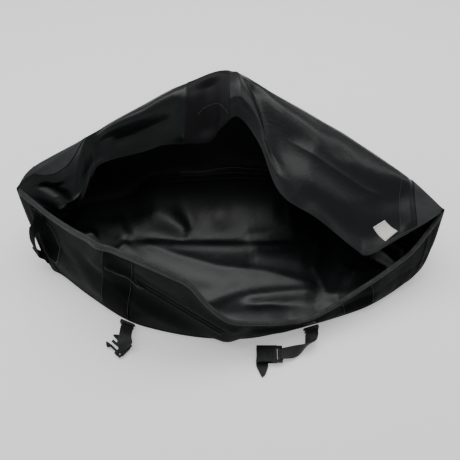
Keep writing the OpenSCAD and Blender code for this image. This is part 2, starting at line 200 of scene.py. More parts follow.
def fromZipper(points):
    # Points given along, up and out of the zipper, in millimetres
    points = np.asarray(points, float) * mm
    z = zipper
    along, up, out = points[..., :1], points[..., 1:2], points[..., 2:]
    return z["start"] + along * z["along"] + up * z["up"] + out * z["out"]


def nearZipper(p):
    z = zipper
    q = p - z["start"]
    s = q @ z["along"]
    share = fade(np.maximum(np.abs(q @ z["up"]) - z["flatHalf"], 0), z["flatFade"])
    beyond = np.maximum(np.maximum(-z["flatBefore"] - s, s - z["length"] - 12 * mm), 0)
    return share * fade(beyond, z["flatRunOut"]), q @ z["out"]


def endSwell(u, v, forward):
    size = np.sin(np.pi * v) * np.abs(2 * u - 1) ** 4
    sideways = np.where(u < 0.5, -bag["leftBulge"], bag["rightBulge"])
    return np.stack([size * sideways, size * forward * np.abs(sideways), 0 * size], -1)


def alongY(size):
    return np.stack([0 * size, size, 0 * size], -1)


def frontWall(u, v):
    raw = edgeAt(bag["baseFront"], u) * (1 - v)[..., None] + edgeAt(bag["rim"], u) * v[..., None]
    raw = raw + endSwell(u, v, -0.6) + alongY(
        bag["frontSag"] * np.sin(np.pi * v) * np.sin(np.pi * u)
        - bag["frontRoll"] * np.sin(2 * np.pi * np.minimum(v, 0.5)))
    share, out = nearZipper(raw)
    return raw - (share * out)[..., None] * zipper["out"]


def backWall(u, v):
    raw = edgeAt(bag["baseBack"], u) * (1 - v)[..., None] + edgeAt(bag["ridge"], u) * v[..., None]
    return raw + endSwell(u, v, 0.6) + alongY(bag["backBulge"] * np.sin(np.pi * v) * np.sin(np.pi * u))


def flapWall(u, v):
    raw = edgeAt(bag["ridge"], u) * (1 - v)[..., None] + edgeAt(bag["hem"], u) * v[..., None]
    crown = np.sin(np.pi * v) * np.sin(np.pi * u) * bag["flapCrown"]
    return raw + np.stack([0 * crown, -0.45 * crown, crown], -1)


def gridNormals(points):
    return asUnit(np.cross(np.gradient(points, axis=0), np.gradient(points, axis=1)))


def newWall(us, vs, points):
    # A surface kept as a dense grid, so that whatever is sewn to it follows every fold
    return {"us": us, "vs": vs, "points": points, "normals": gridNormals(points)}


def onWall(wall, u, v, out=0.0):
    u, v = np.broadcast_arrays(np.asarray(u, float), np.asarray(v, float))
    i = np.interp(u, wall["us"], np.arange(len(wall["us"])))
    j = np.interp(v, wall["vs"], np.arange(len(wall["vs"])))
    i0 = np.minimum(i.astype(int), len(wall["us"]) - 2)
    j0 = np.minimum(j.astype(int), len(wall["vs"]) - 2)
    s, t = (i - i0)[..., None], (j - j0)[..., None]

    def mixed(rows):
        near = rows[i0, j0] * (1 - s) + rows[i0 + 1, j0] * s
        far = rows[i0, j0 + 1] * (1 - s) + rows[i0 + 1, j0 + 1] * s
        return near * (1 - t) + far * t

    out = np.asarray(out, float)
    return mixed(wall["points"]) + asUnit(mixed(wall["normals"])) * (out[..., None] if out.ndim else out)


def nearLine(a, b, line):
    # Distance to a line of 2D points, and the share of the way along it
    best = np.full(np.shape(a), 1e9)
    share = np.zeros(np.shape(a))
    line = np.asarray(line, float)
    lengths = np.linalg.norm(np.diff(line, axis=0), axis=1)
    before = np.concatenate([[0], np.cumsum(lengths)])
    for k in range(len(line) - 1):
        d = (line[k + 1] - line[k]) / lengths[k]
        t = np.clip((a - line[k, 0]) * d[0] + (b - line[k, 1]) * d[1], 0, lengths[k])
        ra, rb = a - line[k, 0] - t * d[0], b - line[k, 1] - t * d[1]
        distance = np.hypot(ra, rb)
        closer = distance < best
        best = np.where(closer, distance, best)
        share = np.where(closer, (before[k] + t) / before[-1], share)
    return best, share


foldShape = {"fadeOver": 0.2, "fadeFrom": 0.15, "sharpLift": 1.12, "sharpRound": 0.12}


def relief(a, b, folds):
    # Height of all folds together, each fading towards both its ends
    s = foldShape
    total = np.zeros(np.shape(a))
    for line, height, width, kind in folds:
        distance, share = nearLine(a, b, line)
        ends = smooth(share / s["fadeOver"] + s["fadeFrom"])
        ends = ends * smooth((1 - share) / s["fadeOver"] + s["fadeFrom"])
        if kind == "soft":
            shape = np.exp(-((distance / width) ** 2))
        else:
            rounded = np.sqrt(distance**2 + (s["sharpRound"] * width) ** 2)
            shape = s["sharpLift"] * np.exp(-rounded / width)
        total += height * mm * shape * ends
    return total


# ---- cloth
def settle(name, coarse, hold, s):
    # Lets a sheet that is cut slightly too large buckle between the places that hold it
    rows, columns = coarse.shape[:2]
    index = np.arange(rows * columns).reshape(rows, columns)
    quads = np.stack([index[:-1, :-1], index[1:, :-1], index[1:, 1:], index[:-1, 1:]], -1)
    mesh = bpy.data.meshes.new(name)
    mesh.from_pydata(coarse.reshape(-1, 3).tolist(), [], quads.reshape(-1, 4).tolist())
    sheet = placed(name, mesh)
    group = sheet.vertex_groups.new(name="hold")
    for i, weight in enumerate(hold.ravel()):
        if weight > 0:
            group.add([i], float(weight), "REPLACE")
    cloth = sheet.modifiers.new("cloth", "CLOTH")
    c = cloth.settings
    c.quality = 5
    c.mass = s["mass"]
    c.tension_stiffness = c.compression_stiffness = s["stretch"]
    c.shear_stiffness = s["shear"]
    c.bending_stiffness = s["bend"]
    c.vertex_group_mass = "hold"
    c.pin_stiffness = s["pin"]
    c.shrink_min = c.shrink_max = -s["spare"]
    c.effector_weights.gravity = s["gravity"]
    cloth.collision_settings.use_collision = False
    cloth.point_cache.frame_start = 1
    cloth.point_cache.frame_end = s["frames"]
    for step in range(1, s["frames"] + 1):
        bpy.context.scene.frame_set(step)
    done = sheet.evaluated_get(bpy.context.evaluated_depsgraph_get()).data
    moved = np.empty(rows * columns * 3)
    done.vertices.foreach_get("co", moved)
    bpy.data.objects.remove(sheet)
    bpy.context.scene.frame_set(1)
    shift = moved.reshape(rows, columns, 3) - coarse
    for step in range(s["even"]):
        shift[1:-1] = (shift[:-2] + 2 * shift[1:-1] + shift[2:]) / 4
        shift[:, 1:-1] = (shift[:, :-2] + 2 * shift[:, 1:-1] + shift[:, 2:]) / 4
    size = np.linalg.norm(shift, axis=-1, keepdims=True)
    print("  cloth", name, "moved at most", round(float(size.max()) / mm, 1), "mm")
    return shift * np.minimum(1, s["most"] / np.maximum(size, 1e-9))


def finer(shift, us, vs, usFine, vsFine):
    byU = lineAt(shift, np.interp(usFine, us, np.arange(len(us))))
    return lineAt(byU.transpose(1, 0, 2), np.interp(vsFine, vs, np.arange(len(vs)))).transpose(1, 0, 2)


def arcs(points):
    # Distances along and across a sheet, for its woven pattern
    alongU = np.linalg.norm(np.diff(points, axis=0, prepend=points[:1]), axis=-1).cumsum(0)
    alongV = np.linalg.norm(np.diff(points, axis=1, prepend=points[:, :1]), axis=-1).cumsum(1)
    across, up = alongU.mean(1, keepdims=True), alongV.mean(0, keepdims=True)
    return np.stack([across + 0 * alongU, up + 0 * alongV], -1)


def closedSheet(name, top, bottom, finish, uv=None, wear=None):
    # Two skins and the rim that joins them; the top skin faces along du x dv
    rows, columns = top.shape[:2]
    count = rows * columns
    index = np.arange(count).reshape(rows, columns)
    a, b, c, d = index[:-1, :-1], index[1:, :-1], index[1:, 1:], index[:-1, 1:]
    over = np.stack([a, b, c, d], -1).reshape(-1, 4)
    under = np.stack([a, d, c, b], -1).reshape(-1, 4) + count
    ring = np.concatenate([index[:, 0], index[-1, 1:], index[-2::-1, -1], index[0, -2:0:-1]])
    after = np.roll(ring, -1)
    side = np.stack([after, ring, ring + count, after + count], -1)
    points = np.concatenate([top.reshape(-1, 3), bottom.reshape(-1, 3)])
    uv = arcs(top) if uv is None else uv
    uvs = np.concatenate([uv.reshape(-1, 2)] * 2)
    wears = np.concatenate([(np.zeros(count) if wear is None else wear.ravel())] * 2)
    return newPiece(name, points, np.concatenate([over, under, side]), finish, uvs, wears, 2 * len(over))


def placed(name, data):
    thing = bpy.data.objects.new(name, data)
    bpy.context.collection.objects.link(thing)
    return thing


def newPiece(name, points, faces, finish, uvs=None, wears=None, flatFrom=None):
    mesh = bpy.data.meshes.new(name)
    mesh.from_pydata(np.asarray(points).tolist(), [], np.asarray(faces).tolist() if len(faces) else [])
    rounded = np.ones(len(mesh.polygons), bool)
    if flatFrom is not None:
        rounded[flatFrom:] = False
    mesh.polygons.foreach_set("use_smooth", rounded)
    if uvs is not None:
        corners = np.empty(len(mesh.loops), int)
        mesh.loops.foreach_get("vertex_index", corners)
        layer = mesh.uv_layers.new(name="cloth")
        layer.data.foreach_set("uv", np.asarray(uvs)[corners].ravel())
    if wears is not None:
        layer = mesh.attributes.new("wear", "FLOAT", "POINT")
        layer.data.foreach_set("value", np.asarray(wears, np.float32))
    mesh.materials.append(finish)
    return placed(name, mesh)


def finishPiece(piece, body, slot, *nodes):
    if body == "mouth":  # fabric that reaches from the shell to the collar
        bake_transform(piece)
    else:
        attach(piece, body)
    if nodes:
        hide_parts(*nodes)
    return piece


# ---- finishes
def addNode(tree, kind, inputs=None, **settings):
    node = tree.nodes.new(kind)
    for key, value in settings.items():
        setattr(node, key, value)
    for key, value in (inputs or {}).items():
        if isinstance(value, bpy.types.NodeSocket):
            tree.links.new(value, node.inputs[key])
        else:
            node.inputs[key].default_value = value
    return node


def sineOf(tree, value, period):
    turned = addNode(tree, "ShaderNodeMath", {0: value, 1: 2 * math.pi / period}, operation="MULTIPLY")
    return addNode(tree, "ShaderNodeMath", {0: turned.outputs[0]}, operation="SINE").outputs[0]


def ranged(tree, value, low, high, toLow=0.0, toHigh=1.0):
    limits = {"Value": value, "From Min": low, "From Max": high, "To Min": toLow, "To Max": toHigh}
    return addNode(tree, "ShaderNodeMapRange", limits).outputs[0]


def noiseOf(tree, place, scale, detail, **more):
    inputs = {"Vector": place, "Scale": scale, "Detail": detail, **more}
    return addNode(tree, "ShaderNodeTexNoise", inputs).outputs["Fac"]


# ranges of the noise that each effect is spread over, and the roughness that dull cloth adds
shading = {"clouds": (0.3, 0.7), "rubbed": (0.42, 0.68), "scuffed": (0.35, 0.7), "dullAdds": 0.42}


def newFinish(name, s):
    finish = bpy.data.materials.new(name)
    finish.use_nodes = True
    tree = finish.node_tree
    shader = tree.nodes["Principled BSDF"]
    place = addNode(tree, "ShaderNodeTexCoord").outputs["Object"]
    cloudy = noiseOf(tree, place, s["cloudScale"], 5.0, Roughness=0.6)
    grain = noiseOf(tree, place, s["grainScale"], 2.0)
    scuff = noiseOf(tree, place, s["scuffScale"], 8.0, Roughness=0.75, Distortion=1.2)
    # colour: cloudy variation, then threads, then pale wear along edges
    shade = ranged(tree, cloudy, *shading["clouds"])
    colour = addNode(tree, "ShaderNodeMix", {"Factor": shade}, data_type="RGBA")
    colour.inputs[6].default_value = (*s["dark"], 1)
    colour.inputs[7].default_value = (*s["light"], 1)
    colour = colour.outputs[2]
    heights = [(grain, s["grainDepth"])]
    if s.get("weave"):
        kind, pitchU, pitchV, depth, tint = s["weave"]
        uv = addNode(tree, "ShaderNodeUVMap", uv_map="cloth").outputs[0]
        split = addNode(tree, "ShaderNodeSeparateXYZ", {0: uv})
        across, along = split.outputs[0], split.outputs[1]
        if kind == "slant":  # ribs that lean with the cloth
            across = addNode(tree, "ShaderNodeMath", {0: across, 1: along}, operation="ADD").outputs[0]
        warp = sineOf(tree, across, pitchU)
        if kind == "plain":
            weft = sineOf(tree, along, pitchV)
            warp = addNode(tree, "ShaderNodeMath", {0: warp, 1: weft}, operation="MULTIPLY").outputs[0]
        weave = ranged(tree, warp, -1.0, 1.0)
        heights.append((weave, depth))
        threads = addNode(tree, "ShaderNodeMix", {"Factor": weave}, data_type="RGBA", blend_type="MULTIPLY")
        tree.links.new(colour, threads.inputs[6])
        threads.inputs[7].default_value = (tint, tint, tint, 1)
        colour = threads.outputs[2]
    worn = addNode(tree, "ShaderNodeAttribute", attribute_name="wear").outputs["Fac"]
    for factor in (ranged(tree, scuff, *shading["rubbed"]), s.get("wearShare", 0.5)):
        worn = addNode(tree, "ShaderNodeMath", {0: worn, 1: factor}, operation="MULTIPLY").outputs[0]
    rubbed = addNode(tree, "ShaderNodeMix", {"Factor": worn}, data_type="RGBA")
    tree.links.new(colour, rubbed.inputs[6])
    rubbed.inputs[7].default_value = (*s["worn"], 1)
    tree.links.new(rubbed.outputs[2], shader.inputs["Base Color"])
    # roughness follows the same scuffs, and rises where the cloth is dull
    rough = ranged(tree, scuff, *shading["scuffed"], *s["rough"])
    dull = addNode(tree, "ShaderNodeAttribute", attribute_name="dull").outputs["Fac"]
    inputs = {0: dull, 1: shading["dullAdds"], 2: rough}
    rough = addNode(tree, "ShaderNodeMath", inputs, operation="MULTIPLY_ADD")
    tree.links.new(rough.outputs[0], shader.inputs["Roughness"])
    if s.get("creaseDepth"):
        heights.append((scuff, s["creaseDepth"]))
    normal = None
    for height, depth in heights:
        bump = addNode(tree, "ShaderNodeBump", {"Height": height, "Strength": 1.0, "Distance": depth})
        if normal:
            tree.links.new(normal, bump.inputs["Normal"])
        normal = bump.outputs[0]
    tree.links.new(normal, shader.inputs["Normal"])
    for socket, value in s.get("sockets", {}).items():
        shader.inputs[socket].default_value = value
    return finish


finishes = {
    "outerNylon": {
        "dark": (0.0030, 0.0040, 0.0043), "light": (0.0062, 0.0074, 0.0078), "worn": (0.06, 0.058, 0.056),
        "cloudScale": 7.0, "grainScale": 900.0, "grainDepth": 0.00006, "scuffScale": 24.0,
        "weave": ("plain", 0.0016, 0.0016, 0.00022, 0.62), "rough": (0.62, 0.74), "creaseDepth": 0.0009,
        "sockets": {"Sheen Weight": 0.02, "Sheen Roughness": 0.45, "Specular IOR Level": 0.09}},
    "coatedCloth": {
        "dark": (0.0026, 0.0036, 0.0043), "light": (0.0050, 0.0064, 0.0074), "worn": (0.045, 0.046, 0.048),
        "cloudScale": 5.0, "grainScale": 520.0, "grainDepth": 0.00003, "scuffScale": 16.0,
        "weave": ("plain", 0.0022, 0.0022, 0.00003, 0.9), "rough": (0.34, 0.43), "creaseDepth": 0.0012,
        "wearShare": 0.35,
        "sockets": {"Specular IOR Level": 0.36, "Coat Weight": 0.10, "Coat Roughness": 0.26}},
    "sealTape": {
        "dark": (0.009, 0.010, 0.011), "light": (0.015, 0.016, 0.017), "worn": (0.06, 0.06, 0.06),
        "cloudScale": 16.0, "grainScale": 700.0, "grainDepth": 0.00003, "scuffScale": 40.0,
        "rough": (0.38, 0.5), "creaseDepth": 0.0006, "sockets": {"Specular IOR Level": 0.5}},
    "bindingTape": {
        "dark": (0.014, 0.0155, 0.0165), "light": (0.025, 0.027, 0.028), "worn": (0.09, 0.09, 0.088),
        "cloudScale": 30.0, "grainScale": 1500.0, "grainDepth": 0.00005, "scuffScale": 60.0,
        "weave": ("rib", 0.0011, 0.0011, 0.00018, 0.55), "rough": (0.62, 0.78),
        "sockets": {"Sheen Weight": 0.12, "Sheen Roughness": 0.4, "Specular IOR Level": 0.35}},
    "webbingCloth": {
        "dark": (0.009, 0.0098, 0.0108), "light": (0.015, 0.0162, 0.0175), "worn": (0.05, 0.05, 0.05),
        "cloudScale": 22.0, "grainScale": 1300.0, "grainDepth": 0.00006, "scuffScale": 50.0,
        "weave": ("slant", 0.0019, 0.0019, 0.0002, 0.6), "rough": (0.5, 0.68),
        "sockets": {"Sheen Weight": 0.08, "Sheen Roughness": 0.4, "Specular IOR Level": 0.45}},
    "bandCloth": {
        "dark": (0.0014, 0.0020, 0.0024), "light": (0.0026, 0.0034, 0.0038), "worn": (0.04, 0.04, 0.04),
        "cloudScale": 12.0, "grainScale": 1300.0, "grainDepth": 0.00004, "scuffScale": 30.0,
        "weave": ("rib", 0.0013, 0.0013, 0.00010, 0.75), "rough": (0.66, 0.78), "creaseDepth": 0.0006,
        "sockets": {"Specular IOR Level": 0.05}},
    # the outer fabric again, in a lighter colour that is painted sheen of matte cloth seen edge-on
    "facingPaintedSheen": {
        "dark": (0.030, 0.033, 0.034), "light": (0.052, 0.056, 0.058), "worn": (0.11, 0.11, 0.11),
        "cloudScale": 14.0, "grainScale": 900.0, "grainDepth": 0.00006, "scuffScale": 34.0,
        "weave": ("plain", 0.0016, 0.0016, 0.0002, 0.65), "rough": (0.62, 0.76), "creaseDepth": 0.0012,
        "sockets": {"Sheen Weight": 0.08, "Sheen Roughness": 0.45, "Specular IOR Level": 0.25}},
    "panelCloth": {
        "dark": (0.0034, 0.0034, 0.0048), "light": (0.0060, 0.0058, 0.0080), "worn": (0.03, 0.03, 0.033),
        "cloudScale": 9.0, "grainScale": 1100.0, "grainDepth": 0.00004, "scuffScale": 20.0,
        "weave": ("plain", 0.0018, 0.0018, 0.00008, 0.8), "rough": (0.46, 0.58), "creaseDepth": 0.0010,
        "sockets": {"Specular IOR Level": 0.2}},
    "cordBraid": {
        "dark": (0.011, 0.011, 0.012), "light": (0.022, 0.022, 0.024), "worn": (0.08, 0.08, 0.08),
        "cloudScale": 180.0, "grainScale": 2400.0, "grainDepth": 0.00004, "scuffScale": 200.0,
        "weave": ("slant", 0.0012, 0.0012, 0.00008, 0.6), "rough": (0.5, 0.65),
        "sockets": {"Sheen Weight": 0.1, "Specular IOR Level": 0.4}},
    "labelCloth": {
        "dark": (0.80, 0.79, 0.76), "light": (0.90, 0.895, 0.875), "worn": (0.62, 0.60, 0.56),
        "cloudScale": 40.0, "grainScale": 1600.0, "grainDepth": 0.00004, "scuffScale": 90.0,
        "weave": ("plain", 0.0008, 0.0008, 0.00008, 0.93), "rough": (0.55, 0.7),
        "sockets": {"Sheen Weight": 0.15, "Sheen Roughness": 0.35}},
    "darkMetal": {
        "dark": (0.020, 0.020, 0.022), "light": (0.032, 0.032, 0.034), "worn": (0.35, 0.34, 0.32),
        "cloudScale": 120.0, "grainScale": 1800.0, "grainDepth": 0.00002, "scuffScale": 420.0,
        "rough": (0.28, 0.46), "sockets": {"Metallic": 0.55, "Specular IOR Level": 0.5}},
    "mouldedPlastic": {
        "dark": (0.0062, 0.0068, 0.0074), "light": (0.0095, 0.0102, 0.0110), "worn": (0.06, 0.06, 0.06),
        "cloudScale": 60.0, "grainScale": 1700.0, "grainDepth": 0.00005, "scuffScale": 160.0,
        "rough": (0.48, 0.62), "sockets": {"Specular IOR Level": 0.2}},
    "sewingThread": {
        "dark": (0.065, 0.066, 0.068), "light": (0.10, 0.10, 0.104), "worn": (0.14, 0.14, 0.14),
        "cloudScale": 90.0, "grainScale": 3000.0, "grainDepth": 0.00002, "scuffScale": 300.0,
        "rough": (0.45, 0.6), "sockets": {"Sheen Weight": 0.1}},
}
finishOf = {name: newFinish(name, s) for name, s in finishes.items()}
print("finishes made:", len(finishOf))


# ---- strips, tubes and other swept shapes
def webStrip(name, edgeA, edgeB, thick, finish, s=None):
    # Woven strap between two edge lines, with its ribs and its thinner selvedges as real relief
    s = {"step": 0.75 * mm, "across": 26, "rib": 1.9 * mm, "ribDepth": 0.13 * mm, **(s or {})}
    edgeA, edgeB = np.asarray(edgeA, float), np.asarray(edgeB, float)
    mid = (edgeA + edgeB) / 2
    length = np.linalg.norm(np.diff(mid, axis=0), axis=1).sum()
    count = max(int(length / s["step"]), 8)
    fine = lineAt(mid, np.linspace(0, len(mid) - 1, 600))
    run = np.concatenate([[0], np.linalg.norm(np.diff(fine, axis=0), axis=1).cumsum()])
    index = np.interp(np.linspace(0, run[-1], count), run, np.linspace(0, len(mid) - 1, 600))
    a, b = lineAt(edgeA, index), lineAt(edgeB, index)
    t = np.linspace(0, 1, s["across"])
    middle = a[:, None] * (1 - t)[None, :, None] + b[:, None] * t[None, :, None]
    normals = gridNormals(middle)
    along = np.linspace(0, run[-1], count)[:, None] + 0 * t[None]
    width = np.linalg.norm(b - a, axis=1).mean() * t[None] + 0 * along
    slant = np.abs(width - width.max() / 2)
    ribs = s["ribDepth"] * np.sin(2 * np.pi * (along + slant) / s["rib"])
    selvedge = 1 - 0.45 * np.abs(2 * t - 1) ** 14
    top = middle + normals * (thick / 2 * selvedge[None] + ribs)[..., None]
    low = middle - normals * (thick / 2 * selvedge[None] - ribs)[..., None]
    wear = np.clip(np.abs(2 * t - 1) ** 8, 0, 1)[None] + 0 * along
    return closedSheet(name, top, low, finish, np.stack([along, width], -1), wear)


def tubeRings(line, radii, sides, relief):
    line = np.asarray(line, float)
    tangent = asUnit(np.gradient(line, axis=0))
    side = asUnit(np.cross(tangent[0], (0, 0, 1) if abs(tangent[0, 2]) < 0.9 else (1, 0, 0)))
    rings = []
    for i, p in enumerate(line):
        side = asUnit(side - (side @ tangent[i]) * tangent[i])
        other = np.cross(tangent[i], side)
        turn = np.linspace(0, 2 * np.pi, sides, endpoint=False)
        r = radii[i] * (1 + (relief(i, turn) if relief else 0 * turn))
        rings.append(p + r[:, None] * (np.cos(turn)[:, None] * side + np.sin(turn)[:, None] * other))
    return np.array(rings)


def tubePiece(name, line, radii, sides, finish, relief=None, closed=False):
    rings = tubeRings(line, radii, sides, relief)
    rows = len(rings)
    index = np.arange(rows * sides).reshape(rows, sides)
    if closed:
        a, b = index, np.roll(index, -1, axis=0)
    else:
        a, b = index[:-1], index[1:]
    faces = np.stack([a, np.roll(a, -1, axis=1), np.roll(b, -1, axis=1), b], -1).reshape(-1, 4).tolist()
    points = rings.reshape(-1, 3).tolist()
    if not closed:
        points += [np.asarray(line[0]).tolist(), np.asarray(line[-1]).tolist()]
        for k in range(sides):
            faces.append((rows * sides, int(index[0, (k + 1) % sides]), int(index[0, k])))
            faces.append((rows * sides + 1, int(index[-1, k]), int(index[-1, (k + 1) % sides])))
    run = np.concatenate([[0], np.linalg.norm(np.diff(np.asarray(line), axis=0), axis=1).cumsum()])
    around = np.linspace(0, 2 * np.pi * float(np.max(radii)), sides, endpoint=False)
    uvs = np.stack(grid(run, around), -1).reshape(-1, 2)
    if not closed:
        uvs = np.concatenate([uvs, [[0, 0], [run[-1], 0]]])
    mesh = bpy.data.meshes.new(name)
    mesh.from_pydata(points, [], faces)
    mesh.polygons.foreach_set("use_smooth", np.ones(len(mesh.polygons), bool))
    tidy = bmesh.new()
    tidy.from_mesh(mesh)
    bmesh.ops.recalc_face_normals(tidy, faces=tidy.faces)
    tidy.to_mesh(mesh)
    tidy.free()
    corners = np.empty(len(mesh.loops), int)
    mesh.loops.foreach_get("vertex_index", corners)
    mesh.uv_layers.new(name="cloth").data.foreach_set("uv", uvs[corners].ravel())
    mesh.materials.append(finish)
    return placed(name, mesh)


def softened(name, node, width, finish):
    # The CAD part's own shape, with moulded edges
    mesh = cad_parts[node].data.copy()
    mesh.name = name
    shape = bmesh.new()
    shape.from_mesh(mesh)
    bmesh.ops.remove_doubles(shape, verts=shape.verts, dist=0.02 * mm)
    bmesh.ops.dissolve_limit(shape, angle_limit=math.radians(3), verts=shape.verts, edges=shape.edges)
    shape.to_mesh(mesh)
    shape.free()
    piece = placed(name, mesh)
    bevel = piece.modifiers.new("edges", "BEVEL")
    bevel.width, bevel.segments, bevel.limit_method = width, 3, "ANGLE"
    bevel.angle_limit = math.radians(28)
    bevel.use_clamp_overlap = True
    return plainMesh(piece, finish)


def plainMesh(piece, finish):
    # Turns a piece with modifiers into a plain mesh object
    mesh = bpy.data.meshes.new_from_object(piece.evaluated_get(bpy.context.evaluated_depsgraph_get()))
    name = piece.name
    bpy.data.objects.remove(piece)
    mesh.materials.clear()
    mesh.materials.append(finish)
    mesh.polygons.foreach_set("use_smooth", np.ones(len(mesh.polygons), bool))
    mesh.polygons.foreach_set("material_index", np.zeros(len(mesh.polygons), int))
    return placed(name, mesh)


# ---- stitches and teeth, repeated along lines by Geometry Nodes
def repeatTree():
    tree = bpy.data.node_groups.new("repeatAlong", "GeometryNodeTree")
    face = tree.interface
    face.new_socket("Lines", in_out="INPUT", socket_type="NodeSocketGeometry")
    sockets = {}
    for label, kind in (("Pitch", "Float"), ("Size", "Vector"), ("Jitter", "Float"), ("Seed", "Int"),
                        ("Finish", "Material")):
        made = face.new_socket(label, in_out="INPUT", socket_type="NodeSocket" + kind)
        sockets[label] = made.identifier
    face.new_socket("Mesh", in_out="OUTPUT", socket_type="NodeSocketGeometry")
    given = tree.nodes.new("NodeGroupInput")
    curve = addNode(tree, "GeometryNodeMeshToCurve", {"Mesh": given.outputs["Lines"]})
    upright = addNode(tree, "GeometryNodeSetCurveNormal", {"Curve": curve.outputs[0]})
    upright.mode = "Z_UP"
    points = tree.nodes.new("GeometryNodeCurveToPoints")
    points.mode = "LENGTH"
    tree.links.new(upright.outputs[0], points.inputs["Curve"])
    tree.links.new(given.outputs["Pitch"], points.inputs["Length"])
    grain = addNode(tree, "GeometryNodeMeshUVSphere", {"Segments": 6, "Rings": 4, "Radius": 1.0})
    tilt = tree.nodes.new("FunctionNodeRandomValue")
    tilt.data_type = "FLOAT_VECTOR"
    back = addNode(tree, "ShaderNodeMath", {0: given.outputs["Jitter"], 1: -1.0}, operation="MULTIPLY")
    low = addNode(tree, "ShaderNodeCombineXYZ", {i: back.outputs[0] for i in range(3)})
    high = addNode(tree, "ShaderNodeCombineXYZ", {i: given.outputs["Jitter"] for i in range(3)})
    tree.links.new(low.outputs[0], tilt.inputs["Min"])
    tree.links.new(high.outputs[0], tilt.inputs["Max"])
    tree.links.new(given.outputs["Seed"], tilt.inputs["Seed"])
    turned = addNode(tree, "FunctionNodeRotateRotation", {"Rotation": points.outputs["Rotation"]},
                     rotation_space="LOCAL")
    tree.links.new(tilt.outputs["Value"], turned.inputs["Rotate By"])
    placed = addNode(tree, "GeometryNodeInstanceOnPoints",
                     {"Points": points.outputs["Points"], "Instance": grain.outputs["Mesh"],
                      "Rotation": turned.outputs[0], "Scale": given.outputs["Size"]})
    real = addNode(tree, "GeometryNodeRealizeInstances", {0: placed.outputs[0]})
    painted = addNode(tree, "GeometryNodeSetMaterial",
                      {"Geometry": real.outputs[0], "Material": given.outputs["Finish"]})
    result = tree.nodes.new("NodeGroupOutput")
    tree.links.new(painted.outputs[0], result.inputs["Mesh"])
    return tree, sockets


repeater, repeaterSocket = repeatTree()


def repeatAlong(name, lines, s, finish):
    points, edges = [], []
    for line in lines:
        first = len(points)
        points += np.asarray(line).tolist()
        edges += [(i, i + 1) for i in range(first, len(points) - 1)]
    mesh = bpy.data.meshes.new(name)
    mesh.from_pydata(points, edges, [])
    piece = placed(name, mesh)
    run = piece.modifiers.new("repeat", "NODES")
    run.node_group = repeater
    for label in ("Pitch", "Size", "Jitter", "Seed"):
        run[repeaterSocket[label]] = s[label]
    run[repeaterSocket["Finish"]] = finish
    piece = plainMesh(piece, finish)
    print("  repeated", name, len(piece.data.polygons), "faces")
    return piece


sewing = {
    "fine": {"Pitch": 2.6 * mm, "Size": (0.24 * mm, 0.24 * mm, 0.95 * mm), "Jitter": 0.10, "Seed": 3},
    "plain": {"Pitch": 3.8 * mm, "Size": (0.32 * mm, 0.32 * mm, 1.5 * mm), "Jitter": 0.09, "Seed": 7},
    "heavy": {"Pitch": 3.4 * mm, "Size": (0.36 * mm, 0.36 * mm, 1.45 * mm), "Jitter": 0.12, "Seed": 11},
}
seams = {}  # body and kind of thread: lines to sew once every surface is settled


def sew(body, kind, lines):
    seams.setdefault((body, kind), []).extend(lines)


# ---- pull cord: 3 mm braid from the slider's ring to its moulded end
pullCord = {
    # along, up and out of the zipper, in millimetres, from the ring to the moulded end
    "route": [
        (0, 0, 6.1), (-5, 1, 6), (-9, 2.5, 5.5), (-13, 4, 5), (-18, 5, 4.8), (-23, 5, 4.7),
        (-28, 4.5, 4.7), (-33, 3, 4.7), (-38, 1, 4.7), (-43, -1, 4.7), (-48, -2, 4.8),
        (-53, -2, 5), (-57, -1.5, 5.2)],
    "diameter": 3.0 * mm,
    "braid": 0.07,  # relief of the braid, as a share of the radius
    "strands": 8,
    "endLength": 15 * mm, "endRadius": 2.6 * mm, "endGrips": 4,
}


def braidedCord(s):
    line = fromZipper(lineAt(s["route"], np.linspace(0, len(s["route"]) - 1, 170)))
    run = np.concatenate([[0], np.linalg.norm(np.diff(line, axis=0), axis=1).cumsum()])
    radius = s["diameter"] / 2 * (1 - s["braid"])

    def weave(i, turn):
        lean = run[i] / (2.2 * mm) * 2 * np.pi / s["strands"]
        half = s["strands"] / 2
        return s["braid"] * np.abs(np.sin((turn + lean) * half) * np.cos((turn - lean) * half))

    cord = tubePiece("pullCord", line, np.full(len(line), radius), 32, finishOf["cordBraid"], weave)
    finishPiece(cord, "pull", "cord", "pull_cord")
    return cord, line, run[-1]


def mouldedEnd(s):
    start = -56.5 * mm - s["endLength"]
    at = np.linspace(0, 1, 60)
    rounding = np.minimum(1, np.minimum(at, 1 - at) / 0.12)
    radii = s["endRadius"] * np.sqrt(1 - 0.75 * (1 - rounding) ** 2)
    grips = 0.09 * smooth(np.sin(np.pi * np.clip((at - 0.25) / 0.5, 0, 1)) * 2) * (
        0.5 + 0.5 * np.cos(2 * np.pi * (at - 0.25) / 0.5 * s["endGrips"]))
    line = fromZipper(np.stack([(start + at * s["endLength"]) / mm, 0 * at - 1.5, 0 * at + 5.8], -1))
    end = tubePiece("cordEnd", line, radii * (1 - grips), 28, finishOf["mouldedPlastic"])
    return finishPiece(end, "pull", "moulded_plastic", "cord_end")


cordEnd = mouldedEnd(pullCord)
pullCordPiece, cordLine, cordLength = braidedCord(pullCord)
print("pull cord made,", round(cordLength, 4), "m")

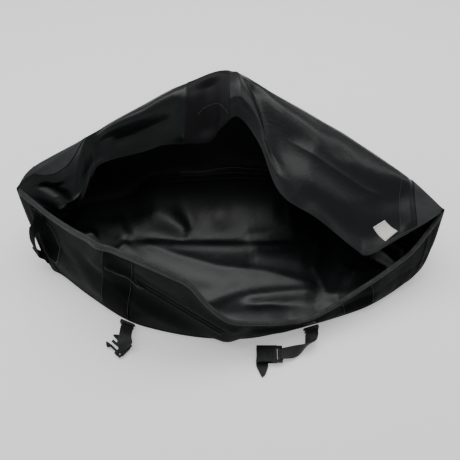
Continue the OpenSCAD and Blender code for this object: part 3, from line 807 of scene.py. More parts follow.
# ---- shell: front wall, rear wall and the collar that is folded forward from the ridge
shell = {
    "frontGrid": (321, 97), "backGrid": (261, 101), "flapGrid": (341, 121), "lapRows": 12,
    # how far each wall runs along and up, in millimetres, for its folds
    "frontSpan": (860, 190), "backSpan": (860, 330), "flapSpan": (860, 200),
    # how the fold at the ridge is rounded
    "ridgeSteps": 14, "ridgeRate": 0.8,
    "frontCloth": {"mass": 0.3, "stretch": 30, "shear": 12, "bend": 2.5, "pin": 0.6, "spare": 0.012,
                   "gravity": 0.0, "frames": 14, "even": 3, "most": 3.5 * mm},
    "backCloth": {"mass": 0.3, "stretch": 30, "shear": 12, "bend": 4.0, "pin": 0.6, "spare": 0.014,
                  "gravity": 0.0, "frames": 14, "even": 2, "most": 6 * mm},
    "flapCloth": {"mass": 0.3, "stretch": 30, "shear": 12, "bend": 6.0, "pin": 0.6, "spare": 0.008,
                  "gravity": 0.0, "frames": 14, "even": 2, "most": 4.5 * mm},
    # lines in millimetres along and up the wall, then height, width and kind of fold
    "frontFolds": [
        ([(70, 150), (120, 95), (150, 30)], 3.0, 20, "soft"),
        ([(30, 60), (75, 110)], -3.0, 16, "soft"),
        ([(560, 150), (600, 80), (650, 40)], 2.5, 24, "soft"),
        ([(715, 165), (740, 90), (735, 25)], 3.5, 16, "soft"),
        ([(775, 160), (790, 90), (805, 30)], -3.0, 15, "soft"),
        ([(470, 120), (500, 60), (560, 25)], 2.0, 26, "soft")],
    "backFolds": [
        ([(100, 60), (180, 200)], 4, 26, "soft"), ([(260, 40), (330, 250)], -4, 30, "soft"),
        ([(430, 60), (430, 300)], 4, 34, "soft"), ([(540, 60), (500, 240)], -4, 26, "soft"),
        ([(690, 50), (640, 210)], 4, 24, "soft"), ([(120, 120), (420, 170), (740, 110)], -3, 30, "soft")],
    "flapFolds": [
        # left corner: a sharp fold down from the ridge, slack cloth on both sides of it
        ([(150, -20), (128, 60), (112, 130), (100, 200)], 13, 24, "sharp"),
        ([(176, 0), (162, 90), (146, 190)], -8, 24, "soft"),
        ([(60, 10), (70, 60), (74, 110)], 7, 26, "soft"),
        ([(40, 90), (80, 140), (96, 190)], -7, 14, "soft"),
        ([(66, 196), (92, 168), (120, 160)], 6, 7, "sharp"),
        ([(104, 196), (128, 178), (150, 160)], 4, 10, "sharp"),
        # panel between the two folds under the peak
        ([(345, 0), (340, 90), (330, 200)], 6, 15, "sharp"),
        ([(388, 20), (386, 110), (376, 190)], -9, 26, "soft"),
        ([(440, 6), (447, 70), (452, 150)], 9, 12, "sharp"),
        ([(472, 25), (500, 90), (520, 170)], -10, 20, "soft"),
        # long folds of the right side
        ([(476, 34), (600, 42), (730, 38), (820, 30)], 14, 32, "soft"),
        ([(510, 104), (600, 112), (720, 102), (790, 88)], -4, 28, "soft"),
        ([(545, 88), (620, 90), (690, 86), (750, 90)], 3, 10, "sharp"),
        ([(560, 172), (660, 172), (760, 160)], -5, 24, "soft"),
        ([(785, 0), (792, 100), (795, 200)], 4.5, 10, "sharp"),
        ([(770, 60), (776, 190)], -2, 8, "soft"),
        # left side
        ([(150, 40), (260, 46), (350, 42)], 17, 36, "soft"),
        ([(185, 128), (270, 124), (325, 130)], -6, 26, "soft")],
}


def wallGrid(size, surface):
    us, vs = np.linspace(0, 1, size[0]), np.linspace(0, 1, size[1])
    u, v = grid(us, vs)
    return us, vs, u, v, surface(u, v)


def foldsOn(wall, u, v):
    along, up = shell[wall + "Span"]
    return relief(u * along, v * up, shell[wall + "Folds"])


def coarseHold(u, v, rest):
    # Sewn edges are held fast, and the cloth beside them is held a little
    edge = np.minimum(np.minimum(u, 1 - u) * 5, np.minimum(v, 1 - v) * 4)
    sewn = np.minimum(np.minimum(u, 1 - u), np.minimum(v, 1 - v)) < 0.004
    return np.where(sewn, 1.0, rest + (0.5 - rest) * (1 - smooth(edge * 2)))


def relaxed(name, us, vs, points, coarse, rest, cloth, extraHold=None):
    usC, vsC = np.linspace(us[0], us[-1], coarse[0]), np.linspace(vs[0], vs[-1], coarse[1])
    i = np.rint(np.interp(usC, us, np.arange(len(us)))).astype(int)
    j = np.rint(np.interp(vsC, vs, np.arange(len(vs)))).astype(int)
    uC, vC = grid(usC, (vsC - vs[0]) / (vs[-1] - vs[0]))
    base = points[np.ix_(i, j)]
    hold = coarseHold(uC, vC, rest)
    if extraHold is not None:
        hold = np.maximum(hold, extraHold(base))
    return points + finer(settle(name, base, hold, cloth), us[i], vs[j], us, vs)


def nearZipperHold(p):
    return np.where(nearZipper(p)[0] > 0.02, 1.0, 0.0)


def evened(points, near, steps, rate):
    # Draws each row towards the mean of its neighbours, where near says so
    for step in range(steps):
        middle = points.copy()
        middle[:, 1:-1] = (points[:, :-2] + points[:, 2:]) / 2
        points = points + (middle - points) * near * rate
    return points


us, vs, u, v, points = wallGrid(shell["frontGrid"], frontWall)
loose = 1 - nearZipper(points)[0]
height = foldsOn("front", u, v) * loose * np.sin(np.pi * v) ** 0.5
points = points + gridNormals(points) * height[..., None]
points = relaxed("frontCloth", us, vs, points, (91, 19), 0.06, shell["frontCloth"], nearZipperHold)
front = newWall(us, vs, points)

us, vs, u, v, points = wallGrid(shell["backGrid"], backWall)
height = foldsOn("back", u, v) * np.sin(np.pi * v)
points = points - gridNormals(points) * height[..., None]
points = relaxed("backCloth", us, vs, points, (75, 31), 0.05, shell["backCloth"])
back = newWall(us, vs, points)

# The collar: the top of the rear wall, over the ridge and down to the hem
us, vs, u, v, points = wallGrid(shell["flapGrid"], flapWall)
height = foldsOn("flap", u, v) * smooth(v / 0.06) * smooth(np.minimum(u, 1 - u) / 0.03)
points = points - gridNormals(points) * height[..., None]
taut = points
points = relaxed("flapCloth", us, vs, points, (85, 21), 0.05, shell["flapCloth"])
points = taut + (points - taut) * smooth(v / 0.35)[..., None]
lapV = np.linspace(-0.1, 0, shell["lapRows"], endpoint=False)
uLap, vLap = grid(us, lapV)
lap = onWall(back, uLap, 1 + vLap, -0.9 * mm)
points = np.concatenate([lap, points], axis=1)
vs = np.concatenate([lapV, vs])
ridgeRow = shell["lapRows"]
near = np.exp(-(((np.arange(len(vs)) - ridgeRow) / 5.0) ** 2))[None, :, None]
near[:, [0, -1]] = 0
collar = newWall(us, vs, evened(points, near, shell["ridgeSteps"], shell["ridgeRate"]))
print("shell surfaces ready")


def edgeWear(a, reach):
    return np.exp(-((np.minimum(a, 1 - a) / reach) ** 2))


def clothSheet(name, wall, uRange, vRange, high, low, finish, wearReach=0.02):
    i = (wall["us"] >= uRange[0] - 1e-6) & (wall["us"] <= uRange[1] + 1e-6)
    j = (wall["vs"] >= vRange[0] - 1e-6) & (wall["vs"] <= vRange[1] + 1e-6)
    points, normals = wall["points"][np.ix_(i, j)], wall["normals"][np.ix_(i, j)]
    v = (wall["vs"][j] - vRange[0]) / (vRange[1] - vRange[0])
    wear = np.broadcast_to(edgeWear(v, wearReach), points.shape[:2])
    return closedSheet(name, points + normals * high, points + normals * low, finish, wear=wear)


outerFront = clothSheet("outerFront", front, (0, 1), (0, 1), 0, -bag["cloth"], finishOf["outerNylon"])
finishPiece(outerFront, "root", "outer_fabric", "front_panel")
outerBack = clothSheet("outerBack", back, (0, 1), (0, 0.5), bag["cloth"], 0, finishOf["outerNylon"])
finishPiece(outerBack, "mouth", "outer_fabric", "back_panel")
rearCollar = clothSheet("rearCollar", back, (0, 1), (0.47, 0.94), 0.2 * mm, -0.8 * mm,
                        finishOf["coatedCloth"])
finishPiece(rearCollar, "mouth", "outer_fabric", "rear_collar")
wear = np.exp(-((collar["vs"] / 0.05) ** 2)) * 0.8 + np.exp(-(((collar["vs"] - 1) / 0.02) ** 2))
collarTop = collar["points"] + collar["normals"] * bag["cloth"]
collarPiece = closedSheet("collarFlap", collarTop, collar["points"], finishOf["coatedCloth"],
                          wear=np.broadcast_to(wear, collarTop.shape[:2]))
finishPiece(collarPiece, "collar", "coated_lining", "collar_flap")
print("shell and collar made")

# ---- lining: down the front wall, across the floor and up the rear wall
lining = {
    "columns": 281, "frontRows": 56, "floorRows": 60, "backRows": 68, "top": 0.985,
    "floor": 3.5 * mm, "loft": 5.5 * mm, "endRise": 30 * mm, "flatTo": 0.205, "riseOver": 0.17,
    "rearSlope": 0.32, "seamAt": 0.056, "seamFade": 0.03, "middleHalf": 0.24, "middleAt": -0.02,
    "middleFade": 0.09, "foldsFade": 25 * mm,
    "frontRound": 4.0, "backRound": 11.0, "footSteps": 110, "footRate": 0.7,
    "cloth": {"mass": 0.25, "stretch": 22, "shear": 8, "bend": 5.0, "pin": 0.5, "spare": 0.012,
              "gravity": 0.0, "frames": 16, "even": 5, "most": 3.5 * mm},
    # lines on the floor in millimetres, then height, width and kind of fold
    "folds": [
        # seam across the floor, with the slack cloth behind it
        ([(-224, 53), (-60, 51), (60, 51), (166, 52)], -4, 5, "sharp"),
        ([(-224, 40), (0, 37), (166, 40)], 3, 12, "soft"),
        ([(-182, 125), (-130, 92), (-89, 64)], 9, 20, "soft"),
        ([(-127, 155), (-100, 114), (-78, 76)], -9, 16, "soft"),
        ([(-45, 90), (-10, 132), (60, 148), (126, 133)], 10, 26, "soft"),
        ([(20, 60), (84, 66), (157, 84)], 8, 14, "soft"),
        # long folds that meet at the right corner
        ([(-208, 46), (-126, 14), (-28, -20), (77, -34), (202, -74)], 6.5, 20, "sharp"),
        ([(-190, 10), (-90, -40), (20, -70)], -2, 22, "soft"),
        ([(15, -97), (100, -86), (193, -80)], 4.5, 13, "soft"),
        ([(27, -111), (110, -110), (204, -113)], -5, 9, "soft"),
        ([(-60, -108), (-5, -84), (32, -66)], -4, 16, "soft"),
        ([(-190, -96), (-70, -150), (20, -160), (120, -156)], 13, 40, "soft"),
        ([(40, 14), (110, 6), (175, -8)], 5, 26, "soft"),
        ([(60, -132), (100, -138), (144, -138)], 3, 16, "soft"),
        ([(173, -7), (196, -60), (208, -109)], 4, 16, "sharp"),
        ([(208, -109), (240, -60), (262, -10)], 9, 16, "soft"),
        ([(208, -109), (255, -95), (300, -60)], 8, 16, "soft"),
        # ends
        ([(-224, 50), (-250, 10), (-262, -40)], 8, 16, "sharp"),
        ([(-224, 50), (-250, 90), (-255, 130)], 7, 16, "soft"),
        ([(-290, 60), (-330, 40), (-370, 30)], 8, 14, "soft"),
        ([(290, 30), (330, 0), (352, -36)], 9, 9, "sharp"),
        ([(318, 50), (350, 20), (378, -6)], 9, 8, "sharp"),
        ([(300, 0), (330, -30), (340, -60)], -7, 9, "soft"),
        ([(344, 44), (370, 24), (392, 10)], 8, 8, "sharp")],
}


def liningBucket(s):
    us = np.linspace(0, 1, s["columns"])
    inset = bag["room"] * smooth(np.minimum(us, 1 - us) / 0.04) + 0.6 * mm
    frontV = np.linspace(s["top"], 0, s["frontRows"])
    backV = np.linspace(0, s["top"], s["backRows"])
    u, v = grid(us, frontV)
    frontPart = onWall(front, u, v, -inset[:, None] + 0 * u)
    u, v = grid(us, backV)
    backPart = onWall(back, u, v, inset[:, None] + 0 * u)
    w = np.linspace(0, 1, s["floorRows"] + 2)[1:-1][None, :, None]
    floorPart = frontPart[:, -1:] * (1 - w) + backPart[:, :1] * w
    points = np.concatenate([frontPart, floorPart, backPart], axis=1)
    run = np.concatenate([np.linspace(0, 1, s["frontRows"]), 1 + np.linspace(0, 1, s["floorRows"] + 2)[1:-1],
                          2 + np.linspace(0, 1, s["backRows"])])
    x, behind = points[..., 0], points[..., 1] - s["seamAt"]
    lowest = s["floor"] + s["loft"] + s["endRise"] * smooth((np.abs(x) - s["flatTo"]) / s["riseOver"])
    middleShare = smooth((s["middleHalf"] - np.abs(x - s["middleAt"])) / s["middleFade"])
    lowest = lowest + s["rearSlope"] * middleShare * smooth(behind / s["seamFade"]) * behind
    above = points[..., 2] - lowest
    points[..., 2] = lowest + np.maximum(above, 0)
    onFloor = 1 - smooth(np.maximum(above, 0) / s["foldsFade"])
    points[..., 2] += relief(points[..., 0] / mm, points[..., 1] / mm, s["folds"]) * onFloor
    # round the two corners at the foot of the walls
    first, second = s["frontRows"] - 1, s["frontRows"] + s["floorRows"]
    rows = np.arange(points.shape[1])
    nearFront = np.exp(-(((rows - first) / s["frontRound"]) ** 2))
    nearBack = np.exp(-(((rows - second) / s["backRound"]) ** 2))
    near = np.maximum(nearFront, nearBack)[None, :, None]
    points = evened(points, near, s["footSteps"], s["footRate"])
    points[..., 2] = np.maximum(points[..., 2], s["floor"])
    before = points
    normals = gridNormals(points)
    points = relaxed("liningCloth", us, run, points, (71, 47), 0.05, s["cloth"])
    shift = points - before
    outward = np.minimum((shift * normals).sum(-1, keepdims=True) + 0.8 * mm, 0)
    points = points - normals * outward
    points[..., 2] = np.maximum(points[..., 2], s["floor"])
    return us, run, points


liningUs, liningRun, liningPoints = liningBucket(lining)
liningNormals = gridNormals(liningPoints)
liningUv = arcs(liningPoints)
liningWear = 0.35 * np.clip(liningNormals[..., 2], 0, 1) * (1 - smooth((liningRun - 1.6) / 0.3))


def liningPart(name, first, last, finish):
    keep = (liningRun >= first - 1e-6) & (liningRun <= last + 1e-6)
    top = liningPoints[:, keep]
    piece = closedSheet(name, top, top - liningNormals[:, keep] * bag["lining"], finish, liningUv[:, keep],
                        liningWear[:, keep])
    # the cloth is duller where it turns up the rear wall
    dull = np.broadcast_to(smooth((liningRun[keep] - 1.72) / 0.2), top.shape[:2])
    layer = piece.data.attributes.new("dull", "FLOAT", "POINT")
    layer.data.foreach_set("value", np.tile(dull.ravel(), 2).astype(np.float32))
    return piece


liningFloor = liningPart("liningBucket", 0, 2, finishOf["coatedCloth"])
finishPiece(liningFloor, "root", "coated_lining", "liner_floor", "liner_front")
liningBack = liningPart("liningBack", 2, 3, finishOf["coatedCloth"])
finishPiece(liningBack, "mouth", "coated_lining", "liner_back")
keep = liningRun >= 2 - 1e-6
liningWall = {"us": liningUs, "vs": (liningRun[keep] - 2) * lining["top"], "points": liningPoints[:, keep],
              "normals": liningNormals[:, keep]}
print("lining made")


# ---- pieces sewn to the walls
def patchOn(name, wall, u, v, high, low, finish, ribs=None, wear=None):
    top = onWall(wall, u, v, high)
    uv = arcs(top)
    if ribs:
        depth, pitch, face = ribs
        wave = depth * np.sin(2 * np.pi * uv[..., 1] / pitch)
        if face == "high":
            top = onWall(wall, u, v, high + wave)
        else:
            return closedSheet(name, top, onWall(wall, u, v, low - wave), finish, uv, wear)
    return closedSheet(name, top, onWall(wall, u, v, low), finish, uv, wear)


bands = {
    "halfWidth": 0.037, "thick": 1.0 * mm, "lift": 0.25 * mm,
    # wall, foot and head along it, bottom and top, body, CAD node
    "bandFrontLeft": (front, 0.198, 0.261, 0.02, 0.945, "root", "band_front_left"),
    "bandFrontRight": (front, 0.835, 0.79, 0.02, 0.945, "root", "band_front_right"),
    "bandBackLeft": (back, 0.2, 0.235, 0.02, 0.44, "mouth", "band_back_left"),
    "bandBackRight": (back, 0.8, 0.765, 0.02, 0.44, "mouth", "band_back_right"),
}


def sewBand(name, s):
    wall, foot, head, bottom, top, body, node = s[name]
    t, v = grid(np.linspace(-1, 1, 34), np.linspace(bottom, top, 90))
    u = foot * (1 - v) + head * v + t * s["halfWidth"]
    outside = 1 if wall is front else -1
    skins = sorted([outside * s["lift"], outside * (s["lift"] + s["thick"])])
    piece = patchOn(name, wall, u, v, skins[1], skins[0], finishOf["bandCloth"],
                    (0.05 * mm, 1.3 * mm, "high" if outside > 0 else "low"), np.abs(t) ** 10)
    finishPiece(piece, body, "webbing", node)
    rows = np.linspace(bottom, top, 120)
    for side in (-0.93, 0.93):
        line = foot * (1 - rows) + head * rows + side * s["halfWidth"]
        sew(body, "plain", [onWall(wall, line, rows, outside * (s["lift"] + s["thick"] + 0.1 * mm))])


for name in ("bandFrontLeft", "bandFrontRight", "bandBackLeft", "bandBackRight"):
    sewBand(name, bands)

tape = {"from": 0.357, "to": 0.605, "low": 0.055, "high": 0.125, "thick": 0.6 * mm}
t, v = grid(np.linspace(0, 1, 150), np.linspace(0, 1, 24))
ridges = 0.7 * mm * (np.exp(-(((v - 0.1) / 0.07) ** 2)) + np.exp(-(((v - 0.9) / 0.07) ** 2)))
u = tape["from"] + (tape["to"] - tape["from"]) * t
v = tape["low"] + (tape["high"] - tape["low"]) * v
top = onWall(liningWall, u, v, tape["thick"] + ridges)
sealTape = closedSheet("sealTape", top, onWall(liningWall, u, v, 0.05 * mm), finishOf["sealTape"])
finishPiece(sealTape, "mouth", "seam_tape", "seam_tape")

u, v = grid(np.linspace(0.29, 0.5, 60), np.linspace(2 / 12, 7 / 12, 30))
pocketBag = patchOn("pocketBag", front, u, v, -1.5 * mm, -2.1 * mm, finishOf["coatedCloth"])
finishPiece(pocketBag, "root", "coated_lining", "pocket_bag")

binding = {
    "deep": 0.05, "thick": 0.7 * mm, "step": 1.1 * mm, "pucker": 0.22 * mm, "puckerPitch": 3.8 * mm,
    # the rim's length in metres, and how far along their walls the two bindings run
    "rimLength": 1.05, "rim": (0.006, 0.994), "hem": (0.82, 0.965), "rimStitch": 0.962, "hemStitch": 0.968,
    # the tape's section: its middle up the wall, then its two shoulders beside the fold
    "middle": 0.65, "outerShoulder": 0.85, "innerShoulder": 0.95, "shoulderLift": 0.4,
}


def foldedTape(name, wall, us, vLow, high, low, lift, s):
    vMid = vLow + s["middle"] * (1 - vLow)

    def section(high, low, lift):
        foot = onWall(wall, us, vLow)
        edge = onWall(wall, us, 1.0)
        rise = asUnit(edge - foot)
        side = onWall(wall, us, 1.0, 1.0) - edge
        shoulder = rise * lift * s["shoulderLift"]
        return np.stack([
            onWall(wall, us, vLow, high), onWall(wall, us, vMid, high),
            edge + side * high * s["outerShoulder"] + shoulder, edge + side * (high + low) / 2 + rise * lift,
            edge + side * low * s["innerShoulder"] + shoulder,
            onWall(wall, us, vMid, low), onWall(wall, us, vLow, low)], 1)

    def rounded(points):
        return lineAt(points.transpose(1, 0, 2), np.linspace(0, 6, 19)).transpose(1, 0, 2)

    outer = rounded(section(high, low, lift))
    inner = rounded(section(high - s["thick"], low + s["thick"], lift - s["thick"]))
    run = arcs(outer)
    pucker = s["pucker"] * np.sin(2 * np.pi * run[..., :1] / s["puckerPitch"])
    outer = outer + gridNormals(outer) * pucker
    wear = np.broadcast_to(np.exp(-(((np.arange(19) - 9) / 3.0) ** 2)), outer.shape[:2])
    return closedSheet(name, outer, inner, finishOf["bindingTape"], run, wear)


us = np.linspace(*binding["rim"], int(binding["rimLength"] / binding["step"]))
rimBinding = foldedTape("rimBinding", front, us, 1 - binding["deep"], 1.7 * mm, -6.2 * mm, 1.7 * mm, binding)
finishPiece(rimBinding, "root", "binding_tape", "rim_binding")
sew("root", "plain", [onWall(front, us, binding["rimStitch"], out) for out in (1.85 * mm, -6.4 * mm)])
us = np.linspace(*binding["hem"], 140)
hemBinding = foldedTape("hemBinding", collar, us, 0.955, 2.2 * mm, -1.0 * mm, 1.4 * mm, binding)
finishPiece(hemBinding, "collar", "binding_tape", "hem_binding")
sew("collar", "plain", [onWall(collar, us, binding["hemStitch"], -1.1 * mm)])


# ---- ends, base and seams
ends = {"steps": (0.036, 0.024, 0.011), "lift": 0.7 * mm, "tip": 1.6 * mm, "thick": 0.8 * mm,
        "rows": 31, "stitchRows": (3, 27)}


def endSeam(name, atEnd, towards, s):
    v = np.linspace(0, 1, 110)
    tip = onWall(front, atEnd, v) * 0.5 + onWall(back, atEnd, v) * 0.5
    tip = tip + np.array([towards * s["tip"], 0, 0])
    fromFront = [onWall(front, abs(atEnd - k), v, s["lift"]) for k in s["steps"]]
    fromBack = [onWall(back, abs(atEnd - k), v, -s["lift"]) for k in s["steps"]]
    order = fromBack + [tip] + fromFront[::-1] if towards < 0 else fromFront + [tip] + fromBack[::-1]
    skin = lineAt(np.array(order), np.linspace(0, len(order) - 1, s["rows"]))
    normals = gridNormals(skin)
    fromTip = np.arange(s["rows"]) - s["rows"] // 2
    wear = np.broadcast_to(np.exp(-((fromTip / 4.0) ** 2))[:, None], skin.shape[:2])
    piece = closedSheet(name, skin, skin - normals * s["thick"], finishOf["outerNylon"], wear=wear)
    finishPiece(piece, "root", "outer_fabric")
    sew("root", "plain", [skin[row] + normals[row] * 0.1 * mm for row in s["stitchRows"]])


endSeam("endSeamLeft", 0.0, -1, ends)
endSeam("endSeamRight", 1.0, 1, ends)

under = {"high": 2.4 * mm, "low": 0.15 * mm, "inset": 4 * mm, "insetOver": 0.05, "centre": (0, 0.015, 0),
         "piping": 1.9 * mm, "pipingAt": 2.1 * mm}
u, w = grid(np.linspace(0.004, 0.996, 140), np.linspace(0, 1, 26))
flat = edgeAt(bag["baseFront"], u) * (1 - w)[..., None] + edgeAt(bag["baseBack"], u) * w[..., None]
inwards = np.array(under["centre"]) - flat
inwards[..., 2] = 0
reach = np.linalg.norm(inwards, axis=-1, keepdims=True)
flat = flat + asUnit(inwards) * under["inset"] * np.minimum(1, reach / under["insetOver"])
top, low = flat.copy(), flat.copy()
top[..., 2], low[..., 2] = under["high"], under["low"]
basePanel = closedSheet("basePanel", top, low, finishOf["outerNylon"])
finishPiece(basePanel, "root", "outer_fabric", "base_panel")
aroundFront = edgeAt(bag["baseFront"], np.linspace(0.002, 0.998, 420))
aroundBack = edgeAt(bag["baseBack"], np.linspace(0.998, 0.002, 420))
outline = np.concatenate([aroundFront, aroundBack])
outline[:, 2] = under["pipingAt"]
basePiping = tubePiece("basePiping", outline, np.full(len(outline), under["piping"]), 10,
                       finishOf["bindingTape"], closed=True)
finishPiece(basePiping, "root", "binding_tape")
us = np.linspace(0.02, 0.98, 400)
sew("root", "plain", [onWall(front, us, 0.035, 0.15 * mm)])
sew("mouth", "plain", [onWall(back, us, 0.025, -0.15 * mm), onWall(back, us, 0.478, -0.95 * mm),
                       onWall(back, us, 0.493, -0.95 * mm)])
us = us[(us > 0.055) & (us < 0.945)]
sew("collar", "plain", [onWall(collar, us, -0.085, -0.15 * mm), onWall(collar, us, -0.065, -0.15 * mm)])

# matte facings at the collar's right end and left end; their lighter colour is painted sheen, the pale look
# of matte cloth seen edge-on
v = np.linspace(0, 1, 90)[None, :]
t = np.linspace(0, 1, 26)[:, None]
u = (0.927 + 0.010 * v) * (1 - t) + 0.994 * t
facing = patchOn("endFacing", collar, u, 0.012 + 0.985 * v + 0 * u, -0.25 * mm, -1.3 * mm,
                 finishOf["facingPaintedSheen"])
finishPiece(facing, "collar", "outer_fabric")
t, w = grid(np.linspace(0, 1, 60), np.linspace(0, 1, 24))
reach = 0.02 + 0.30 * np.sin(np.pi * t) ** 0.8
facingLeft = patchOn("endFacingLeft", collar, 0.01 + 0.150 * t, 0.012 + w * reach, -0.25 * mm, -1.3 * mm,
                     finishOf["facingPaintedSheen"])
finishPiece(facingLeft, "collar", "outer_fabric")
t, v = grid(np.linspace(0, 1, 40), np.linspace(0.015, 0.99, 90))
panel = patchOn("peakPanel", collar, (0.401 - 0.012 * v) * (1 - t) + 0.499 * t, v, -0.2 * mm, -0.8 * mm,
                finishOf["panelCloth"], wear=np.abs(2 * t - 1) ** 12)
finishPiece(panel, "collar", "outer_fabric")
arc = lineAt([(0.422, 0.60, 0), (0.438, 0.53, 0), (0.458, 0.54, 0), (0.478, 0.66, 0), (0.496, 0.87, 0)],
             np.linspace(0, 4, 60))
sew("collar", "plain", [onWall(collar, arc[:, 0], arc[:, 1], -0.9 * mm)])
fold = np.linspace(0.04, 0.97, 80)
sew("collar", "plain", [onWall(collar, 0.893 + 0.008 * fold, fold, -0.12 * mm)])
print("seams, base and ends made")

# ---- blank label
label = {"high": -0.15 * mm, "low": -0.75 * mm,
         "corner": (0.864, 0.711), "across": (0.0283, 0.188), "down": (-0.026, 0.05)}


def labelPlace(a, b):
    return [label["corner"][k] + label["across"][k] * a + label["down"][k] * b for k in (0, 1)]


a, b = grid(np.linspace(0, 1, 30), np.linspace(0, 1, 24))
u, v = labelPlace(a, b)
curl = 1.6 * mm * smooth((a + (1 - b) - 1.55) / 0.45)
blankLabel = closedSheet("blankLabel", onWall(collar, u, v, label["high"] - curl),
                         onWall(collar, u, v, label["low"] - curl), finishOf["labelCloth"],
                         wear=np.maximum(np.abs(2 * a - 1), np.abs(2 * b - 1)) ** 12)
finishPiece(blankLabel, "collar", "label_cloth", "blank_label")
q = np.linspace(0.06, 0.94, 30)
for a, b in ((q, 0 * q + 0.06), (q, 0 * q + 0.94), (0 * q + 0.06, q), (0 * q + 0.94, q)):
    curl = 1.6 * mm * smooth((a + (1 - b) - 1.55) / 0.45)
    u, v = labelPlace(a, b)
    sew("collar", "fine", [onWall(collar, u, v, label["low"] - 0.12 * mm - curl)])

# ---- pocket zipper
zipTape = {"from": -8.0, "to": 192.0, "gap": 0.2, "width": 9.0, "low": 0.3, "high": 1.2}
for name, sign, node in (("zipperTapeUpper", 1, "zipper_tape_upper"),
                         ("zipperTapeLower", -1, "zipper_tape_lower")):
    edges = sorted([sign * zipTape["gap"], sign * (zipTape["gap"] + zipTape["width"])])
    s, r = grid(np.linspace(zipTape["from"], zipTape["to"], 420), np.linspace(*edges, 14))
    wave = 0.05 * np.sin(2 * np.pi * s / 1.9) - 0.25 * smooth((np.abs(r) - 7.2) / 2)
    top = fromZipper(np.stack([s, r, zipTape["high"] + wave], -1))
    low = fromZipper(np.stack([s, r, 0 * s + zipTape["low"] - 0.15], -1))
    piece = closedSheet(name, top, low, finishOf["outerNylon"], np.stack([s, r], -1) * mm)
    finishPiece(piece, "root", "binding_tape", node)
    s = np.linspace(-7, 191, 200)
    sew("root", "plain", [fromZipper(np.stack([s, 0 * s + sign * 6.6, 0 * s + 1.2], -1))])
s = np.linspace(-14, 196, 220)
sew("root", "plain", [fromZipper(np.stack([s, 0 * s + 12.5, 0 * s + 0.12], -1)),
                      fromZipper(np.stack([s, 0 * s + 17.5, 0 * s + 0.12], -1))])
teeth = {"Pitch": 1.27 * mm, "Size": (0.62 * mm, 1.3 * mm, 0.46 * mm), "Jitter": 0.04, "Seed": 5}
for name, side, shift, node in (("teethUpper", 1.45, 0.0, "zipper_teeth_upper"),
                                ("teethLower", -1.45, 0.63, "zipper_teeth_lower")):
    s = np.linspace(1 + shift, 183.3, 60)
    piece = repeatAlong(name, [fromZipper(np.stack([s, 0 * s + side, 0 * s + 1.9], -1))], teeth,
                        finishOf["mouldedPlastic"])
    finishPiece(piece, "root", "moulded_plastic", node)
for name, node in (("stopTop", "zipper_stop_top"), ("stopBottom", "zipper_stop_bottom")):
    finishPiece(softened(name, node, 0.45 * mm, finishOf["mouldedPlastic"]), "root", "moulded_plastic", node)
slider = softened("zipperSlider", "zipper_slider", 0.35 * mm, finishOf["darkMetal"])
finishPiece(slider, "slider", "dark_metal", "zipper_slider")
turn = np.linspace(0, 2 * np.pi, 64, endpoint=False)
ring = fromZipper(np.stack([3.4 + 3.6 * np.cos(turn), 3.6 * np.sin(turn), 0 * turn + 6.1], -1))
pullRing = tubePiece("pullRing", ring, np.full(64, 0.9 * mm), 14, finishOf["darkMetal"], closed=True)
finishPiece(pullRing, "pull", "dark_metal", "pull_ring")
print("zipper made")

# ---- end handle
handle = {"head": (0.0545, 0.88), "foot": (0.0125, 0.185), "headHalf": 0.0105, "footHalf": 0.0095,
          "out": asUnit([-0.78, -0.62, 0]), "side": asUnit([0.62, -0.78, 0]), "half": 12.5 * mm,
          "headAt": np.array([-0.380, 0.022, 0.140]), "footAt": np.array([-0.378, 0.002, 0.044]),
          "thick": 2.4 * mm}


def handleEdge(sign, s):
    reach = sign * s["half"] * s["side"]

    def between(share, out):
        return s["headAt"] * (1 - share) + s["footAt"] * share + out * mm * s["out"] + reach

    head, foot = s["head"], s["foot"]
    return np.array([
        onWall(front, head[0] + sign * s["headHalf"], head[1] + 0.03, 3.6 * mm),
        onWall(front, head[0] + sign * s["headHalf"], head[1] - 0.03, 5.5 * mm),
        onWall(front, head[0] + sign * s["headHalf"], head[1] - 0.10, 16 * mm),
        between(0.25, 30), between(0.5, 35), between(0.75, 33),
        onWall(front, foot[0] + sign * s["footHalf"], foot[1] + 0.10, 16 * mm),
        onWall(front, foot[0] + sign * s["footHalf"], foot[1] + 0.03, 6.5 * mm),
        onWall(front, foot[0] + sign * s["footHalf"], foot[1] - 0.03, 4.8 * mm)])


endHandle = webStrip("endHandle", handleEdge(1, handle), handleEdge(-1, handle), handle["thick"],
                     finishOf["bandCloth"])
finishPiece(endHandle, "handle", "webbing", "end_handle")
# dark oval on the wall under the handle: a dark sheet that paints the shadow under the handle strap, with a
# binding-tape trim round it
handleShade = {"middle": (0.053, 0.53), "half": (0.024, 0.30), "lean": 0.011, "trim": 1.3 * mm}


def handleShadePlace(x, y):
    return handleShade["middle"][0] + handleShade["half"][0] * x + handleShade["lean"] * y, (
        handleShade["middle"][1] + handleShade["half"][1] * y)
